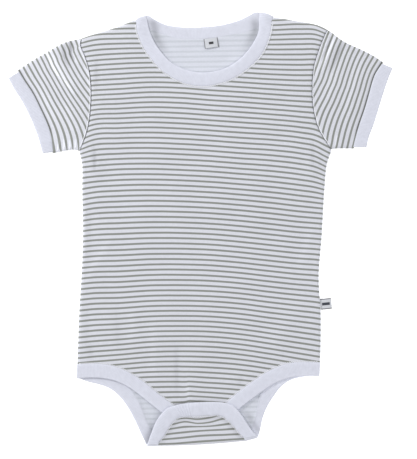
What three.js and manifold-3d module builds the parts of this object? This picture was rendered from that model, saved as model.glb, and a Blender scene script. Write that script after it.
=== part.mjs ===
// A baby's short-sleeved bodysuit laid flat on its back, in millimetres.
// +X is the viewer's right, +Y points to the neck, and the cloth rests on z = 0.
import * as THREE from 'three';
import { mergeVertices } from 'three/addons/utils/BufferGeometryUtils.js';
import Module from 'manifold-3d';

const wasm = await Module();
wasm.setup();

// Driving dimensions
const wall = 1.2; // striped jersey, one layer
const bandThick = 1.8; // rib band, folded over a raw edge
const seamGap = 0.3; // between two pieces that are sewn together
const sleeveGap = 0.7; // the same along the curved armholes
const bodyLoft = 1.6; // how far the front stands proud in the middle of the body
const sleeveLoft = 1.2; // the same on a sleeve
const loftBetween = { footY: -120, headY: 130 }; // where that rise begins and ends
const shoulderRise = 14; // neck points above the line between the shoulder ends
const neckShares = { left: 0.216, right: 0.782 }; // where the neck points are across the front
const cuffThick = 1.5;
const labelThick = 1;
const labelBow = 0.5;
const sizeLabel = { x: 9.6, y: 162.6, wide: 12.6, high: 8.4, turn: 0.14 };
const sideLabel = { y: -65.2, wide: 9.6, high: 9.4 };

// Levels: the back lies on the ground, the front on the back, the flap on the front
const frontLevel = bandThick + seamGap;
const frontTop = frontLevel + wall;
const flapLevel = frontLevel + bandThick + seamGap;

// Blocks that cut the openings reach past the garment on every side
const cutReach = 230;
const cutDepth = 40;

// Body side seams, a row per section, from the underarm to the leg opening
const bodySections = [
  { leftX: -106, leftY: 67.5, rightX: 115, rightY: 69 }, // underarm
  { leftX: -104, leftY: 57, rightX: 111, rightY: 57 }, // chest top
  { leftX: -103.5, leftY: 35, rightX: 108.5, rightY: 33 }, // chest
  { leftX: -102.7, leftY: -4, rightX: 106, rightY: -5 }, // ribs
  { leftX: -104.3, leftY: -40, rightX: 103, rightY: -42 }, // waist
  { leftX: -106.5, leftY: -71, rightX: 105.5, rightY: -72 }, // tummy
  { leftX: -108, leftY: -106, rightX: 105.5, rightY: -101 }, // hip
  { leftX: -108.5, leftY: -131, rightX: 104.3, rightY: -129 }, // leg
];

// Armhole seams, from the shoulder to the underarm
const armholeSections = [
  { leftX: -104, leftY: 167.5, rightX: 111.5, rightY: 175 }, // shoulder
  { leftX: -104.8, leftY: 161, rightX: 108.5, rightY: 169 }, // sleeve cap
  { leftX: -101.5, leftY: 152, rightX: 104, rightY: 157.5 }, // upper bend
  { leftX: -97.5, leftY: 138.5, rightX: 99.5, rightY: 142.5 }, // upper arm
  { leftX: -96, leftY: 122, rightX: 98, rightY: 121 }, // deepest
  { leftX: -97, leftY: 101, rightX: 99.3, rightY: 105 }, // lower arm
  { leftX: -100, leftY: 85, rightX: 104, rightY: 88 }, // lower bend
  { leftX: -106, leftY: 69, rightX: 114.5, rightY: 70.5 }, // underarm
];

// Front neck band, from the left shoulder round to the right one
const frontNeck = [
  { seamX: -57, seamY: 182.3, rimX: -47, rimY: 184.5 },
  { seamX: -55.5, seamY: 172.5, rimX: -44.3, rimY: 173.5 },
  { seamX: -48, seamY: 156, rimX: -37.5, rimY: 160 },
  { seamX: -33, seamY: 138.7, rimX: -25, rimY: 146.3 },
  { seamX: -15, seamY: 128.5, rimX: -11, rimY: 139.6 },
  { seamX: 3, seamY: 125.6, rimX: 4, rimY: 137.8 },
  { seamX: 24.5, seamY: 130.5, rimX: 20.5, rimY: 141 },
  { seamX: 41.5, seamY: 141, rimX: 34.5, rimY: 149.5 },
  { seamX: 54, seamY: 154, rimX: 44.5, rimY: 161 },
  { seamX: 61, seamY: 170.5, rimX: 50.7, rimY: 173.5 },
  { seamX: 63.5, seamY: 184.5, rimX: 51, rimY: 185.5 },
];

// Back neck band, from the right shoulder to the left one
const backNeck = [
  { seamX: 63.7, seamY: 184.8, rimX: 48, rimY: 188 },
  { seamX: 54, seamY: 178.5, rimX: 42.5, rimY: 187.3 },
  { seamX: 41, seamY: 173.7, rimX: 33, rimY: 183.3 },
  { seamX: 22, seamY: 170, rimX: 18, rimY: 179.3 },
  { seamX: 2, seamY: 167.6, rimX: 1, rimY: 177.6 },
  { seamX: -18, seamY: 167.6, rimX: -16, rimY: 177.5 },
  { seamX: -34, seamY: 171.5, rimX: -30, rimY: 179.6 },
  { seamX: -48, seamY: 177.5, rimX: -40, rimY: 183.6 },
  { seamX: -56.5, seamY: 181.8, rimX: -46.5, rimY: 186.3 },
];

// Where the neck band turns over at each shoulder, and the way that its outer face looks there
const neckFolds = {
  left: { seamX: -57, seamY: 182.8, rimX: -47, rimY: 186.4, outX: -0.34, outY: 0.94 },
  right: { seamX: 63.5, seamY: 185.4, rimX: 49, rimY: 188.7, outX: 0.22, outY: 0.975 },
};

// Front leg band: left side seam, left leg, the hidden crotch end, right leg, right side seam
const frontLegs = [
  { edgeX: -108.3, edgeY: -130.8, seamX: -108.1, seamY: -118 },
  { edgeX: -96.5, edgeY: -129.8, seamX: -97, seamY: -117.5 },
  { edgeX: -85, edgeY: -130.5, seamX: -84.5, seamY: -118 },
  { edgeX: -74, edgeY: -133, seamX: -70.5, seamY: -121.5 },
  { edgeX: -61, edgeY: -139.5, seamX: -54.5, seamY: -130 },
  { edgeX: -43, edgeY: -153.5, seamX: -36, seamY: -144.5 },
  { edgeX: -33, edgeY: -161.5, seamX: -25.5, seamY: -152.5 },
  { edgeX: -23, edgeY: -171, seamX: -15, seamY: -162 },
  { edgeX: -12, edgeY: -179.5, seamX: -6, seamY: -169 },
  { edgeX: 1, edgeY: -182, seamX: 1, seamY: -170 },
  { edgeX: 14, edgeY: -179, seamX: 8, seamY: -169 },
  { edgeX: 24, edgeY: -168.5, seamX: 16, seamY: -160 },
  { edgeX: 34, edgeY: -157.5, seamX: 26, seamY: -148.5 },
  { edgeX: 50, edgeY: -145, seamX: 42.5, seamY: -135.5 },
  { edgeX: 65, edgeY: -135, seamX: 58.5, seamY: -124.7 },
  { edgeX: 79.5, edgeY: -129.7, seamX: 76, seamY: -117.4 },
  { edgeX: 93, edgeY: -128.5, seamX: 92, seamY: -116 },
  { edgeX: 104.2, edgeY: -128.5, seamX: 104.9, seamY: -116.5 },
];

// Back leg band on the ground, each row at one distance down the left and the right leg
const backLegs = {
  left: [
    { edgeX: -108.5, edgeY: -130, seamX: -106.2, seamY: -117.5 },
    { edgeX: -98, edgeY: -133.7, seamX: -96, seamY: -121.5 },
    { edgeX: -88.5, edgeY: -136, seamX: -85, seamY: -124.2 },
    { edgeX: -79.5, edgeY: -139.5, seamX: -73, seamY: -129.3 },
    { edgeX: -71, edgeY: -146.5, seamX: -61.5, seamY: -139 },
    { edgeX: -63.5, edgeY: -156.5, seamX: -53.3, seamY: -152 },
    { edgeX: -57, edgeY: -168.5, seamX: -47.5, seamY: -166.5 },
    { edgeX: -52, edgeY: -179.5, seamX: -42, seamY: -178.5 },
    { edgeX: -48.5, edgeY: -186.5, seamX: -38.2, seamY: -186 },
  ],
  right: [
    { edgeX: 104, edgeY: -128, seamX: 103, seamY: -116 },
    { edgeX: 92, edgeY: -129, seamX: 91, seamY: -117.3 },
    { edgeX: 80, edgeY: -131.7, seamX: 76, seamY: -120.5 },
    { edgeX: 71, edgeY: -137.5, seamX: 62.5, seamY: -128.7 },
    { edgeX: 64, edgeY: -146.5, seamX: 54.5, seamY: -140.5 },
    { edgeX: 58.5, edgeY: -155.5, seamX: 50.6, seamY: -152 },
    { edgeX: 55, edgeY: -164, seamX: 48.8, seamY: -162.5 },
    { edgeX: 52.5, edgeY: -174.5, seamX: 45, seamY: -173.5 },
    { edgeX: 51, edgeY: -180.5, seamX: 41, seamY: -182.5 },
  ],
};

// Flap, the back's crotch end folded up over the front: its band from the left fold to the right
const flapBand = [
  { edgeX: -46, edgeY: -186.5, seamX: -36.3, seamY: -186 },
  { edgeX: -43, edgeY: -178, seamX: -32.3, seamY: -181.5 },
  { edgeX: -40, edgeY: -170.5, seamX: -28, seamY: -174.5 },
  { edgeX: -35.5, edgeY: -163, seamX: -24, seamY: -169 },
  { edgeX: -29, edgeY: -156.5, seamX: -19.5, seamY: -165.3 },
  { edgeX: -21, edgeY: -153.7, seamX: -15, seamY: -164 },
  { edgeX: -7.5, edgeY: -151.7, seamX: -6, seamY: -163.8 },
  { edgeX: 10, edgeY: -151, seamX: 8, seamY: -163.3 },
  { edgeX: 21, edgeY: -151.7, seamX: 15, seamY: -162.8 },
  { edgeX: 29, edgeY: -154.5, seamX: 19.3, seamY: -164 },
  { edgeX: 36.5, edgeY: -163, seamX: 24, seamY: -167.5 },
  { edgeX: 42, edgeY: -171.5, seamX: 29, seamY: -172.5 },
  { edgeX: 46.5, edgeY: -177.7, seamX: 33.5, seamY: -178 },
  { edgeX: 49.5, edgeY: -180.5, seamX: 38, seamY: -182.3 },
];

// The fold at the crotch, and the places round it where the cloth has a row
const foldLine = { leftX: -47, leftY: -189.8, rightX: 50.5, rightY: -184.2, bow: -1.9 };
const foldAngles = [-60, -30, 0, 30, 60].map(THREE.MathUtils.degToRad);

// Sleeves: top fold and underside from armhole to cuff seam, then the cuff seam and the hem downwards
const sleeves = {
  left: {
    topFold: [
      [-104.3, 167.5], [-112.5, 165.5], [-121, 162.5], [-134, 155.7], [-148.5, 147], [-159.5, 139.3],
    ],
    underside: [[-106.3, 69], [-111.5, 70.7], [-115, 70.5], [-128.5, 67.8]],
    cuffSeam: [
      [-159.5, 139.3], [-154.5, 131], [-147, 119.5], [-140, 105.5],
      [-134, 92.5], [-130.7, 82], [-128.5, 67.8],
    ],
    hem: [[-168.5, 132], [-164, 124.5], [-155.5, 110.5], [-148.5, 96.5], [-143, 82.5], [-138, 66.5]],
  },
  right: {
    topFold: [
      [111.8, 175], [115, 173.7], [121, 168.7], [127, 164.3], [140.5, 158], [151, 152.5], [159.5, 146.5],
    ],
    underside: [[114.8, 70.5], [119, 71], [133.5, 71]],
    cuffSeam: [
      [159.5, 146.5], [152.8, 135.5], [148, 120], [143.5, 104.5], [138.5, 90], [135, 77], [133.5, 71],
    ],
    hem: [[168.5, 141.5], [164, 131.5], [158, 114], [151, 92], [146.5, 79], [145, 71]],
  },
};

// Largest soft folds of the front: a ridge from one point to another
const frontFolds = [
  { fromX: -93, fromY: 74, toX: -91, toY: 38, wide: 6, high: 1.3 }, // left underarm
  { fromX: 101, fromY: 80, toX: 99, toY: 44, wide: 6, high: 1.3 }, // right underarm
  { fromX: -92, fromY: -60, toX: -60, toY: -112, wide: 9, high: 0.8 }, // left hip
  { fromX: 92, fromY: -56, toX: 62, toY: -110, wide: 9, high: 0.8 }, // right hip
  { fromX: -2, fromY: -95, toX: 0, toY: -145, wide: 12, high: 0.9 }, // crotch
];

// How a front edge rolls down over the back: distances in from the edge, and drops in height
const rollProfile = [
  { outerIn: 0, outerDrop: 2.4, innerIn: 1.2, innerDrop: 1.2 },
  { outerIn: 0.4, outerDrop: 1.1, innerIn: 1.4, innerDrop: 0.6 },
  { outerIn: 1.4, outerDrop: 0.3, innerIn: 2.2, innerDrop: 0.1 },
  { outerIn: 3, outerDrop: 0, innerIn: 3.2, innerDrop: 0 },
];
const backInset = wall + seamGap; // the back's edge lies inside the rolled front edge
const frontFootY = -175; // the front is made down to here, and the leg seam cuts it off

// Counts of steps along the seams and across the cloth
const steps = {
  shoulderLoop: { front: 24, back: 18 },
  neckSeam: { front: 30, back: 24 },
  frontLeg: 34,
  backLeg: 16,
  backLegSeam: 20,
  flap: 26,
  crotch: 6,
  sleeve: { rows: 7, columns: 14 },
  cuff: { rows: 2, columns: 12 },
  sideSeam: 400,
};
const innerColumns = 14;
const armholeRows = 14;
const sideRows = 16;
const backColumns = 9;
const flapRowCount = 12;
const crotchRow = 5; // row of the leg tables from which the back is a strip between its bands

// The back where its legs end and the crotch strip begins, before its leg seams are cut
const crotchStart = { leftX: -106, rightX: 102, y: -150 };
const turnInset = { left: 1, right: 1.4 }; // the crotch cloth narrows so much at the fold

// Round side of a flattened tube, as distance in from the fold and height over the ground
const tubeTurn = [
  { outerIn: 0, outerUp: frontTop / 2, innerIn: wall, innerUp: frontTop / 2 },
  { outerIn: 0.5, outerUp: frontTop - 0.45, innerIn: 1.9, innerUp: frontLevel - 0.1 },
  { outerIn: 1.7, outerUp: frontTop, innerIn: 3, innerUp: frontLevel },
];

// Section of a rib band: share of its width from the seam, share of its thickness from the inner face
const bandProfile = [
  { across: 0, up: 0 },
  { across: 0.93, up: 0 },
  { across: 1, up: 0.5 },
  { across: 0.93, up: 1 },
  { across: 0.5, up: 0.97 },
  { across: 0.06, up: 0.9 },
  { across: 0, up: 0.65 },
];

const clothWhite = { color: 0xe7e8ef, roughness: 0.9, metalness: 0 };
const ribWhite = { color: 0xe3e5f0, roughness: 0.85, metalness: 0 };
const satinWhite = { color: 0xf2f2f2, roughness: 0.5, metalness: 0 };

const vec = (x, y, z = 0) => new THREE.Vector3(x, y, z);
const mix = THREE.MathUtils.lerp;

function curveThrough(pairs) {
  return new THREE.CatmullRomCurve3(pairs.map(([x, y]) => vec(x, y)), false, 'centripetal');
}

function columnCurve(rows, nameX, nameY) {
  return curveThrough(rows.map((row) => [row[nameX], row[nameY]]));
}

// Turn the faces outwards where the triangles enclose a negative volume
function closedGeometry(points, triangles) {
  let volume = 0;
  for (const [a, b, c] of triangles) {
    volume += points[a].dot(points[b].clone().cross(points[c]));
  }
  const index = triangles.flatMap(([a, b, c]) => (volume > 0 ? [a, b, c] : [a, c, b]));
  const geometry = new THREE.BufferGeometry();
  const coordinates = points.flatMap((p) => p.toArray());
  geometry.setAttribute('position', new THREE.Float32BufferAttribute(coordinates, 3));
  geometry.setIndex(index);
  return geometry;
}

function addQuad(triangles, a, b, c, d) {
  triangles.push([a, b, c], [a, c, d]);
}

// Cloth from rows of { outer, inner } points: two skins and the four edges between them
function sheetGeometry(rows) {
  const count = rows[0].length;
  const points = [...rows.flat().map((p) => p.outer), ...rows.flat().map((p) => p.inner)];
  const under = rows.length * count;
  const at = (r, c) => r * count + c;
  const triangles = [];
  for (let r = 0; r < rows.length - 1; r += 1) {
    for (let c = 0; c < count - 1; c += 1) {
      addQuad(triangles, at(r, c), at(r + 1, c), at(r + 1, c + 1), at(r, c + 1));
      const below = under + at(r, c);
      addQuad(triangles, below, below + 1, below + 1 + count, below + count);
    }
  }
  const border = [];
  for (let c = 0; c < count - 1; c += 1) border.push(at(0, c));
  for (let r = 0; r < rows.length - 1; r += 1) border.push(at(r, count - 1));
  for (let c = count - 1; c > 0; c -= 1) border.push(at(rows.length - 1, c));
  for (let r = rows.length - 1; r > 0; r -= 1) border.push(at(r, 0));
  border.forEach((a, i) => {
    const b = border[(i + 1) % border.length];
    addQuad(triangles, a, b, under + b, under + a);
  });
  return closedGeometry(points, triangles);
}

// Walls between one ring of points and the next, all rings having the same count
function ringWalls(triangles, rings, count, first, closed) {
  const spans = closed ? rings : rings - 1;
  for (let r = 0; r < spans; r += 1) {
    const here = first + r * count;
    const next = first + ((r + 1) % rings) * count;
    for (let c = 0; c < count; c += 1) {
      const d = (c + 1) % count;
      addQuad(triangles, here + c, here + d, next + d, next + c);
    }
  }
}

// Solid band through section rings, either a closed loop or capped at both ends
function bandGeometry(rings, closed = false) {
  const count = rings[0].length;
  const triangles = [];
  ringWalls(triangles, rings.length, count, 0, closed);
  if (!closed) {
    const last = (rings.length - 1) * count;
    for (let c = 1; c < count - 1; c += 1) {
      triangles.push([0, c + 1, c]);
      triangles.push([last, last + c, last + c + 1]);
    }
  }
  return closedGeometry(rings.flat(), triangles);
}

// Open tube of cloth: an outer and an inner skin, joined at the two mouths
function tubeGeometry(outerRings, innerRings) {
  const count = outerRings[0].length;
  const under = outerRings.length * count;
  const skin = [];
  ringWalls(skin, outerRings.length, count, 0, false);
  const lining = [];
  ringWalls(lining, innerRings.length, count, under, false);
  const triangles = [...skin, ...lining.map(([a, b, c]) => [a, c, b])];
  const last = under - count;
  for (let c = 0; c < count; c += 1) {
    const d = (c + 1) % count;
    addQuad(triangles, d, c, under + c, under + d);
    addQuad(triangles, last + c, last + d, under + last + d, under + last + c);
  }
  return closedGeometry([...outerRings.flat(), ...innerRings.flat()], triangles);
}

function toManifold(geometry) {
  const bare = geometry.clone();
  bare.deleteAttribute('normal');
  bare.deleteAttribute('uv');
  const merged = mergeVertices(bare, 1e-4);
  const vertProperties = new Float32Array(merged.attributes.position.array);
  const triVerts = new Uint32Array(merged.index.array);
  return new wasm.Manifold(new wasm.Mesh({ numProp: 3, vertProperties, triVerts }));
}

function fromManifold(solid) {
  const mesh = solid.getMesh();
  const geometry = new THREE.BufferGeometry();
  geometry.setAttribute('position', new THREE.BufferAttribute(mesh.vertProperties, 3));
  geometry.setIndex(new THREE.BufferAttribute(mesh.triVerts, 1));
  return geometry;
}

// Upright block on an outline in plan, tall enough to cut through every layer
function cutterOn(outline) {
  const shape = new THREE.Shape(outline.map((p) => new THREE.Vector2(p.x, p.y)));
  const block = new THREE.ExtrudeGeometry(shape, { depth: cutDepth, bevelEnabled: false });
  block.translate(0, 0, -cutDepth / 2);
  return toManifold(block);
}

function piece(name, geometry, look) {
  geometry.computeVertexNormals();
  const mesh = new THREE.Mesh(geometry, new THREE.MeshStandardMaterial(look));
  mesh.name = name;
  return mesh;
}

// Height that the folds of the front add at a place, nothing at the ends of each ridge
function foldHeight(x, y) {
  let height = 0;
  for (const fold of frontFolds) {
    const from = new THREE.Vector2(fold.fromX, fold.fromY);
    const along = new THREE.Vector2(fold.toX, fold.toY).sub(from);
    const length = along.length();
    const offset = new THREE.Vector2(x, y).sub(from);
    const share = offset.dot(along) / length ** 2;
    if (share > 0 && share < 1) {
      const away = offset.cross(along) / length / fold.wide;
      height += fold.high * Math.sin(Math.PI * share) * Math.exp(-(away ** 2));
    }
  }
  return height;
}

// Ends of each section of the body, from the shoulder to the foot of the table. shoulderRows are
// its first rows, at their distances in from the shoulder line.
function bodyStations(shoulderRows) {
  const armhole = {
    left: columnCurve(armholeSections, 'leftX', 'leftY'),
    right: columnCurve(armholeSections, 'rightX', 'rightY'),
  };
  const side = {
    left: columnCurve(bodySections, 'leftX', 'leftY'),
    right: columnCurve(bodySections, 'rightX', 'rightY'),
  };
  const stations = [];
  const addStation = (curves, share, options) => {
    const ends = { left: curves.left.getPointAt(share), right: curves.right.getPointAt(share) };
    stations.push({ ...ends, ...options });
  };
  const armholeLength = armhole.left.getLength();
  for (const row of shoulderRows) {
    const share = row.outerIn / armholeLength;
    addStation(armhole, share, { rise: shoulderRise * (1 - share) ** 2, sideRoll: 0, shoulderRow: row });
  }
  for (let i = 1; i <= armholeRows; i += 1) {
    const share = i / armholeRows;
    const rise = shoulderRise * (1 - share) ** 2;
    addStation(armhole, share, { rise, sideRoll: 0, atUnderarm: i === armholeRows });
  }
  for (let i = 0; i <= sideRows; i += 1) {
    addStation(side, i / sideRows, { rise: 0, sideRoll: 1 });
  }
  return stations;
}

function riseShare(u) {
  return Math.min(1, u / neckShares.left, (1 - u) / (1 - neckShares.right));
}

function acrossRow(station, fromLeft) {
  const width = station.left.distanceTo(station.right);
  const u = fromLeft / width;
  const p = station.left.clone().lerp(station.right, u);
  p.y += station.rise * riseShare(u);
  return p;
}

function columnInsets(width, edgeIn) {
  const edge = rollProfile.map((row, i) => edgeIn(row, i));
  const middle = [];
  const start = edge.at(-1);
  for (let c = 1; c < innerColumns; c += 1) {
    middle.push(mix(start, width - start, c / innerColumns));
  }
  return [...edge, ...middle, ...edge.toReversed().map((s) => width - s)];
}

function frontPanel() {
  const rows = bodyStations(rollProfile).map((station) => {
    const width = station.left.distanceTo(station.right);
    const roll = station.sideRoll;
    const outerIns = columnInsets(width, (row) => row.outerIn);
    const innerIns = columnInsets(width, (row) => mix(row.outerIn, row.innerIn, roll));
    const last = outerIns.length - 1;
    return outerIns.map((outerIn, c) => {
      const edgeRow = rollProfile[Math.min(c, last - c)];
      const shoulder = station.shoulderRow;
      const dropOf = (name) => (edgeRow ? edgeRow[name] * roll : 0) + (shoulder ? shoulder[name] : 0);
      const outer = acrossRow(station, outerIn);
      const inner = acrossRow(station, innerIns[c]);
      if (shoulder) inner.y -= shoulder.innerIn - shoulder.outerIn;
      const u = outerIn / width;
      const upBody = THREE.MathUtils.inverseLerp(loftBetween.footY, loftBetween.headY, outer.y);
      const upShare = THREE.MathUtils.clamp(upBody, 0, 1);
      const lift = bodyLoft * Math.sin(Math.PI * u) * Math.sin(Math.PI * upShare);
      const rise = edgeRow ? 0 : lift + foldHeight(outer.x, outer.y);
      outer.z = frontTop - dropOf('outerDrop') + rise;
      inner.z = frontLevel - dropOf('innerDrop') + rise;
      return { outer, inner };
    });
  });
  const foot = rows.at(-1).map(({ outer, inner }) => ({
    outer: outer.clone().setY(frontFootY),
    inner: inner.clone().setY(frontFootY),
  }));
  rows.push(foot);
  const cloth = toManifold(sheetGeometry(rows));
  const neck = neckCutter(frontNeck, steps.neckSeam.front);
  return fromManifold(cloth.subtract(neck).subtract(frontLegCutter()));
}

// A seam line moved off its band by the gap that sewn pieces keep
function clearOf(seam, edge) {
  return seam.clone().add(seam.clone().sub(edge).setLength(seamGap));
}

function seamPoints(rows, edgeNames, count) {
  const seam = columnCurve(rows, 'seamX', 'seamY');
  const edge = columnCurve(rows, ...edgeNames);
  const points = [];
  for (let i = 0; i <= count; i += 1) {
    const s = seam.getPoint(i / count);
    points.push(clearOf(s, edge.getPoint(i / count)));
  }
  return points;
}

function neckCutter(rows, count) {
  const seam = seamPoints(rows, ['rimX', 'rimY'], count);
  return cutterOn([vec(seam[0].x, cutReach), ...seam, vec(seam.at(-1).x, cutReach)]);
}

function frontLegCutter() {
  const seam = seamPoints(frontLegs, ['edgeX', 'edgeY'], steps.frontLeg);
  const corners = [vec(cutReach, -cutReach), vec(-cutReach, -cutReach)];
  const ends = [vec(-cutReach, seam[0].y), vec(cutReach, seam.at(-1).y)];
  return cutterOn([ends[0], ...seam, ends[1], ...corners]);
}

// The fold at the crotch: what lies on the ground turns up and over about a line parallel to X
function foldedPoint(x, foldY, angle, thick, centre, above) {
  const radius = centre - thick * (1 - above);
  return vec(x, foldY + centre - radius * Math.cos(angle), centre + radius * Math.sin(angle));
}

function foldYAt(x) {
  const u = (x - foldLine.leftX) / (foldLine.rightX - foldLine.leftX);
  const bow = foldLine.bow * Math.sin(Math.PI * THREE.MathUtils.clamp(u, 0, 1));
  return mix(foldLine.leftY, foldLine.rightY, u) + bow;
}

function straightRow(left, right, makePoint) {
  const row = [];
  for (let c = 0; c <= backColumns; c += 1) {
    row.push(makePoint(left.clone().lerp(right, c / backColumns)));
  }
  return row;
}

function backPanel() {
  const onGround = (p) => ({ outer: vec(p.x, p.y, 0), inner: vec(p.x, p.y, wall) });
  const rows = [];
  for (const station of bodyStations([{ outerIn: backInset }])) {
    const inset = station.sideRoll || station.atUnderarm ? backInset : 0;
    const width = station.left.distanceTo(station.right);
    const row = [];
    for (let c = 0; c <= backColumns; c += 1) {
      row.push(onGround(acrossRow(station, mix(inset, width - inset, c / backColumns))));
    }
    rows.push(row);
  }
  const startLeft = vec(crotchStart.leftX, crotchStart.y);
  const startRight = vec(crotchStart.rightX, crotchStart.y);
  rows.push(straightRow(startLeft, startRight, onGround));
  const seam = { left: crotchSeam('left'), right: crotchSeam('right') };
  for (let i = 0; i <= steps.crotch; i += 1) {
    rows.push(straightRow(seam.left(i / steps.crotch), seam.right(i / steps.crotch), onGround));
  }
  const turn = { left: seam.left(1).x + turnInset.left, right: seam.right(1).x - turnInset.right };
  const centre = (flapLevel + wall) / 2;
  for (const angle of foldAngles) {
    rows.push(straightRow(vec(turn.left, 0), vec(turn.right, 0), (p) => ({
      outer: foldedPoint(p.x, foldYAt(p.x), angle, wall, centre, 1),
      inner: foldedPoint(p.x, foldYAt(p.x), angle, wall, centre, 0),
    })));
  }
  const onFront = (p) => ({ outer: vec(p.x, p.y, flapLevel + wall), inner: vec(p.x, p.y, flapLevel) });
  for (const [left, right] of flapRows()) {
    rows.push(straightRow(left, right, onFront));
  }
  const cloth = toManifold(sheetGeometry(rows));
  const neck = neckCutter(backNeck, steps.neckSeam.back);
  return fromManifold(cloth.subtract(neck).subtract(backLegCutter()));
}

// Lower stretch of a back leg seam, from just below the start of the crotch to the fold
function crotchSeam(side) {
  const rows = backLegs[side].slice(crotchRow);
  const seam = columnCurve(rows, 'seamX', 'seamY');
  const edge = columnCurve(rows, 'edgeX', 'edgeY');
  return (share) => clearOf(seam.getPoint(share), edge.getPoint(share));
}

function backLegCutter() {
  const halves = ['left', 'right'].map((side) => {
    const outX = side === 'left' ? -cutReach : cutReach;
    const rows = backLegs[side].slice(0, crotchRow + 1);
    const seam = seamPoints(rows, ['edgeX', 'edgeY'], steps.backLegSeam);
    return cutterOn([vec(outX, seam[0].y), ...seam, vec(outX, seam.at(-1).y)]);
  });
  return halves[0].add(halves[1]);
}

// Rows of the flap's striped field, between the two seams of its band, up to its rounded end
function flapRows() {
  const seam = seamPoints(flapBand, ['edgeX', 'edgeY'], steps.flap);
  const rows = [];
  for (let i = 0; i < flapRowCount; i += 1) {
    rows.push([seam[i], seam[seam.length - 1 - i]]);
  }
  return rows;
}

// Section of a band between its seam and its edge, with its outer face looking along out
function bandRing(seam, edge, out, innerAt) {
  return bandProfile.map(({ across, up }) => {
    const p = seam.clone().lerp(edge, across);
    p.z = innerAt;
    return p.addScaledVector(out, up * bandThick);
  });
}

function bandRings(rows, edgeNames, count, out, innerAt) {
  const seam = columnCurve(rows, 'seamX', 'seamY');
  const edge = columnCurve(rows, ...edgeNames);
  const rings = [];
  for (let i = 0; i <= count; i += 1) {
    rings.push(bandRing(seam.getPoint(i / count), edge.getPoint(i / count), out, innerAt));
  }
  return rings;
}

const skyward = vec(0, 0, 1);
const groundward = vec(0, 0, -1);

function neckBand() {
  const loop = steps.shoulderLoop;
  const rings = bandRings(frontNeck, ['rimX', 'rimY'], loop.front, skyward, frontLevel);
  const middle = bandThick + seamGap / 2;
  const turnAt = (fold, degrees) => {
    const angle = THREE.MathUtils.degToRad(degrees);
    const out = vec(fold.outX * Math.sin(angle), fold.outY * Math.sin(angle), Math.cos(angle));
    return bandRing(vec(fold.seamX, fold.seamY), vec(fold.rimX, fold.rimY), out, middle);
  };
  for (const degrees of [35, 90, 145]) rings.push(turnAt(neckFolds.right, degrees));
  rings.push(...bandRings(backNeck, ['rimX', 'rimY'], loop.back, groundward, bandThick));
  for (const degrees of [145, 90, 35]) rings.push(turnAt(neckFolds.left, degrees));
  return bandGeometry(rings, true);
}

function frontLegBand() {
  const names = ['edgeX', 'edgeY'];
  return bandGeometry(bandRings(frontLegs, names, steps.frontLeg, skyward, frontLevel));
}

// One strip down the left leg, over the fold, round the flap and back up the right leg
function backLegBand() {
  const names = ['edgeX', 'edgeY'];
  const centre = (flapLevel + bandThick) / 2;
  const overFold = (side, angles) => {
    const low = backLegs[side].at(-1);
    const high = side === 'left' ? flapBand[0] : flapBand.at(-1);
    const seamX = (low.seamX + high.seamX) / 2;
    const edgeX = (low.edgeX + high.edgeX) / 2;
    return angles.map((angle) => bandProfile.map(({ across, up }) => {
      const x = mix(seamX, edgeX, across);
      return foldedPoint(x, foldYAt(x), angle, bandThick, centre, up);
    }));
  };
  const rings = [
    ...bandRings(backLegs.left, names, steps.backLeg, groundward, bandThick),
    ...overFold('left', foldAngles),
    ...bandRings(flapBand, names, steps.flap, skyward, flapLevel),
    ...overFold('right', foldAngles.toReversed()),
    ...bandRings(backLegs.right.toReversed(), names, steps.backLeg, groundward, bandThick),
  ];
  return bandGeometry(rings);
}

// Point of a patch between four boundary curves: u runs down the sleeve, v out along it
function patchPoint(patch, u, v) {
  const p = patch.near.getPointAt(u).multiplyScalar(1 - v);
  p.addScaledVector(patch.far.getPointAt(u), v);
  p.addScaledVector(patch.top.getPointAt(v), 1 - u);
  p.addScaledVector(patch.bottom.getPointAt(v), u);
  p.addScaledVector(patch.near.getPointAt(0), -(1 - u) * (1 - v));
  p.addScaledVector(patch.near.getPointAt(1), -u * (1 - v));
  p.addScaledVector(patch.far.getPointAt(0), -(1 - u) * v);
  return p.addScaledVector(patch.far.getPointAt(1), -u * v);
}

// Flattened tube over a patch, with a lift of its upper layer that fades at both mouths
function flatTube(patch, { rows, columns, thick, loft }) {
  const outerRings = [];
  const innerRings = [];
  for (let r = 0; r <= rows; r += 1) {
    const v = r / rows;
    const width = patchPoint(patch, 0, v).distanceTo(patchPoint(patch, 1, v));
    const place = (distance, z) => patchPoint(patch, distance / width, v).setZ(z);
    const extra = thick - wall;
    const stations = [];
    for (const turn of tubeTurn) stations.push({ ...turn, lift: 0 });
    for (let c = 1; c < columns; c += 1) {
      const inset = mix(tubeTurn.at(-1).innerIn, width - tubeTurn.at(-1).innerIn, c / columns);
      const lift = loft * Math.sin(Math.PI * (c / columns)) * Math.sin(Math.PI * v);
      stations.push({ outerIn: inset, innerIn: inset, outerUp: frontTop, innerUp: frontLevel, lift });
    }
    for (const turn of tubeTurn.toReversed()) {
      stations.push({ ...turn, outerIn: width - turn.outerIn, innerIn: width - turn.innerIn, lift: 0 });
    }
    const last = stations.length - 1;
    const upper = (s) => s.outerUp + (s.outerUp > frontTop / 2 ? extra : 0) + s.lift;
    const outer = stations.map((s) => place(s.outerIn, upper(s)));
    const inner = stations.map((s) => place(s.innerIn, s.innerUp + s.lift));
    for (let c = last - 1; c > 0; c -= 1) {
      const s = stations[c];
      outer.push(place(s.outerIn, frontTop - s.outerUp));
      const thicker = s.innerUp > frontTop / 2 ? extra : 0;
      inner.push(place(s.innerIn, frontTop - s.innerUp + thicker));
    }
    outerRings.push(outer);
    innerRings.push(inner);
  }
  return tubeGeometry(outerRings, innerRings);
}

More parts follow.
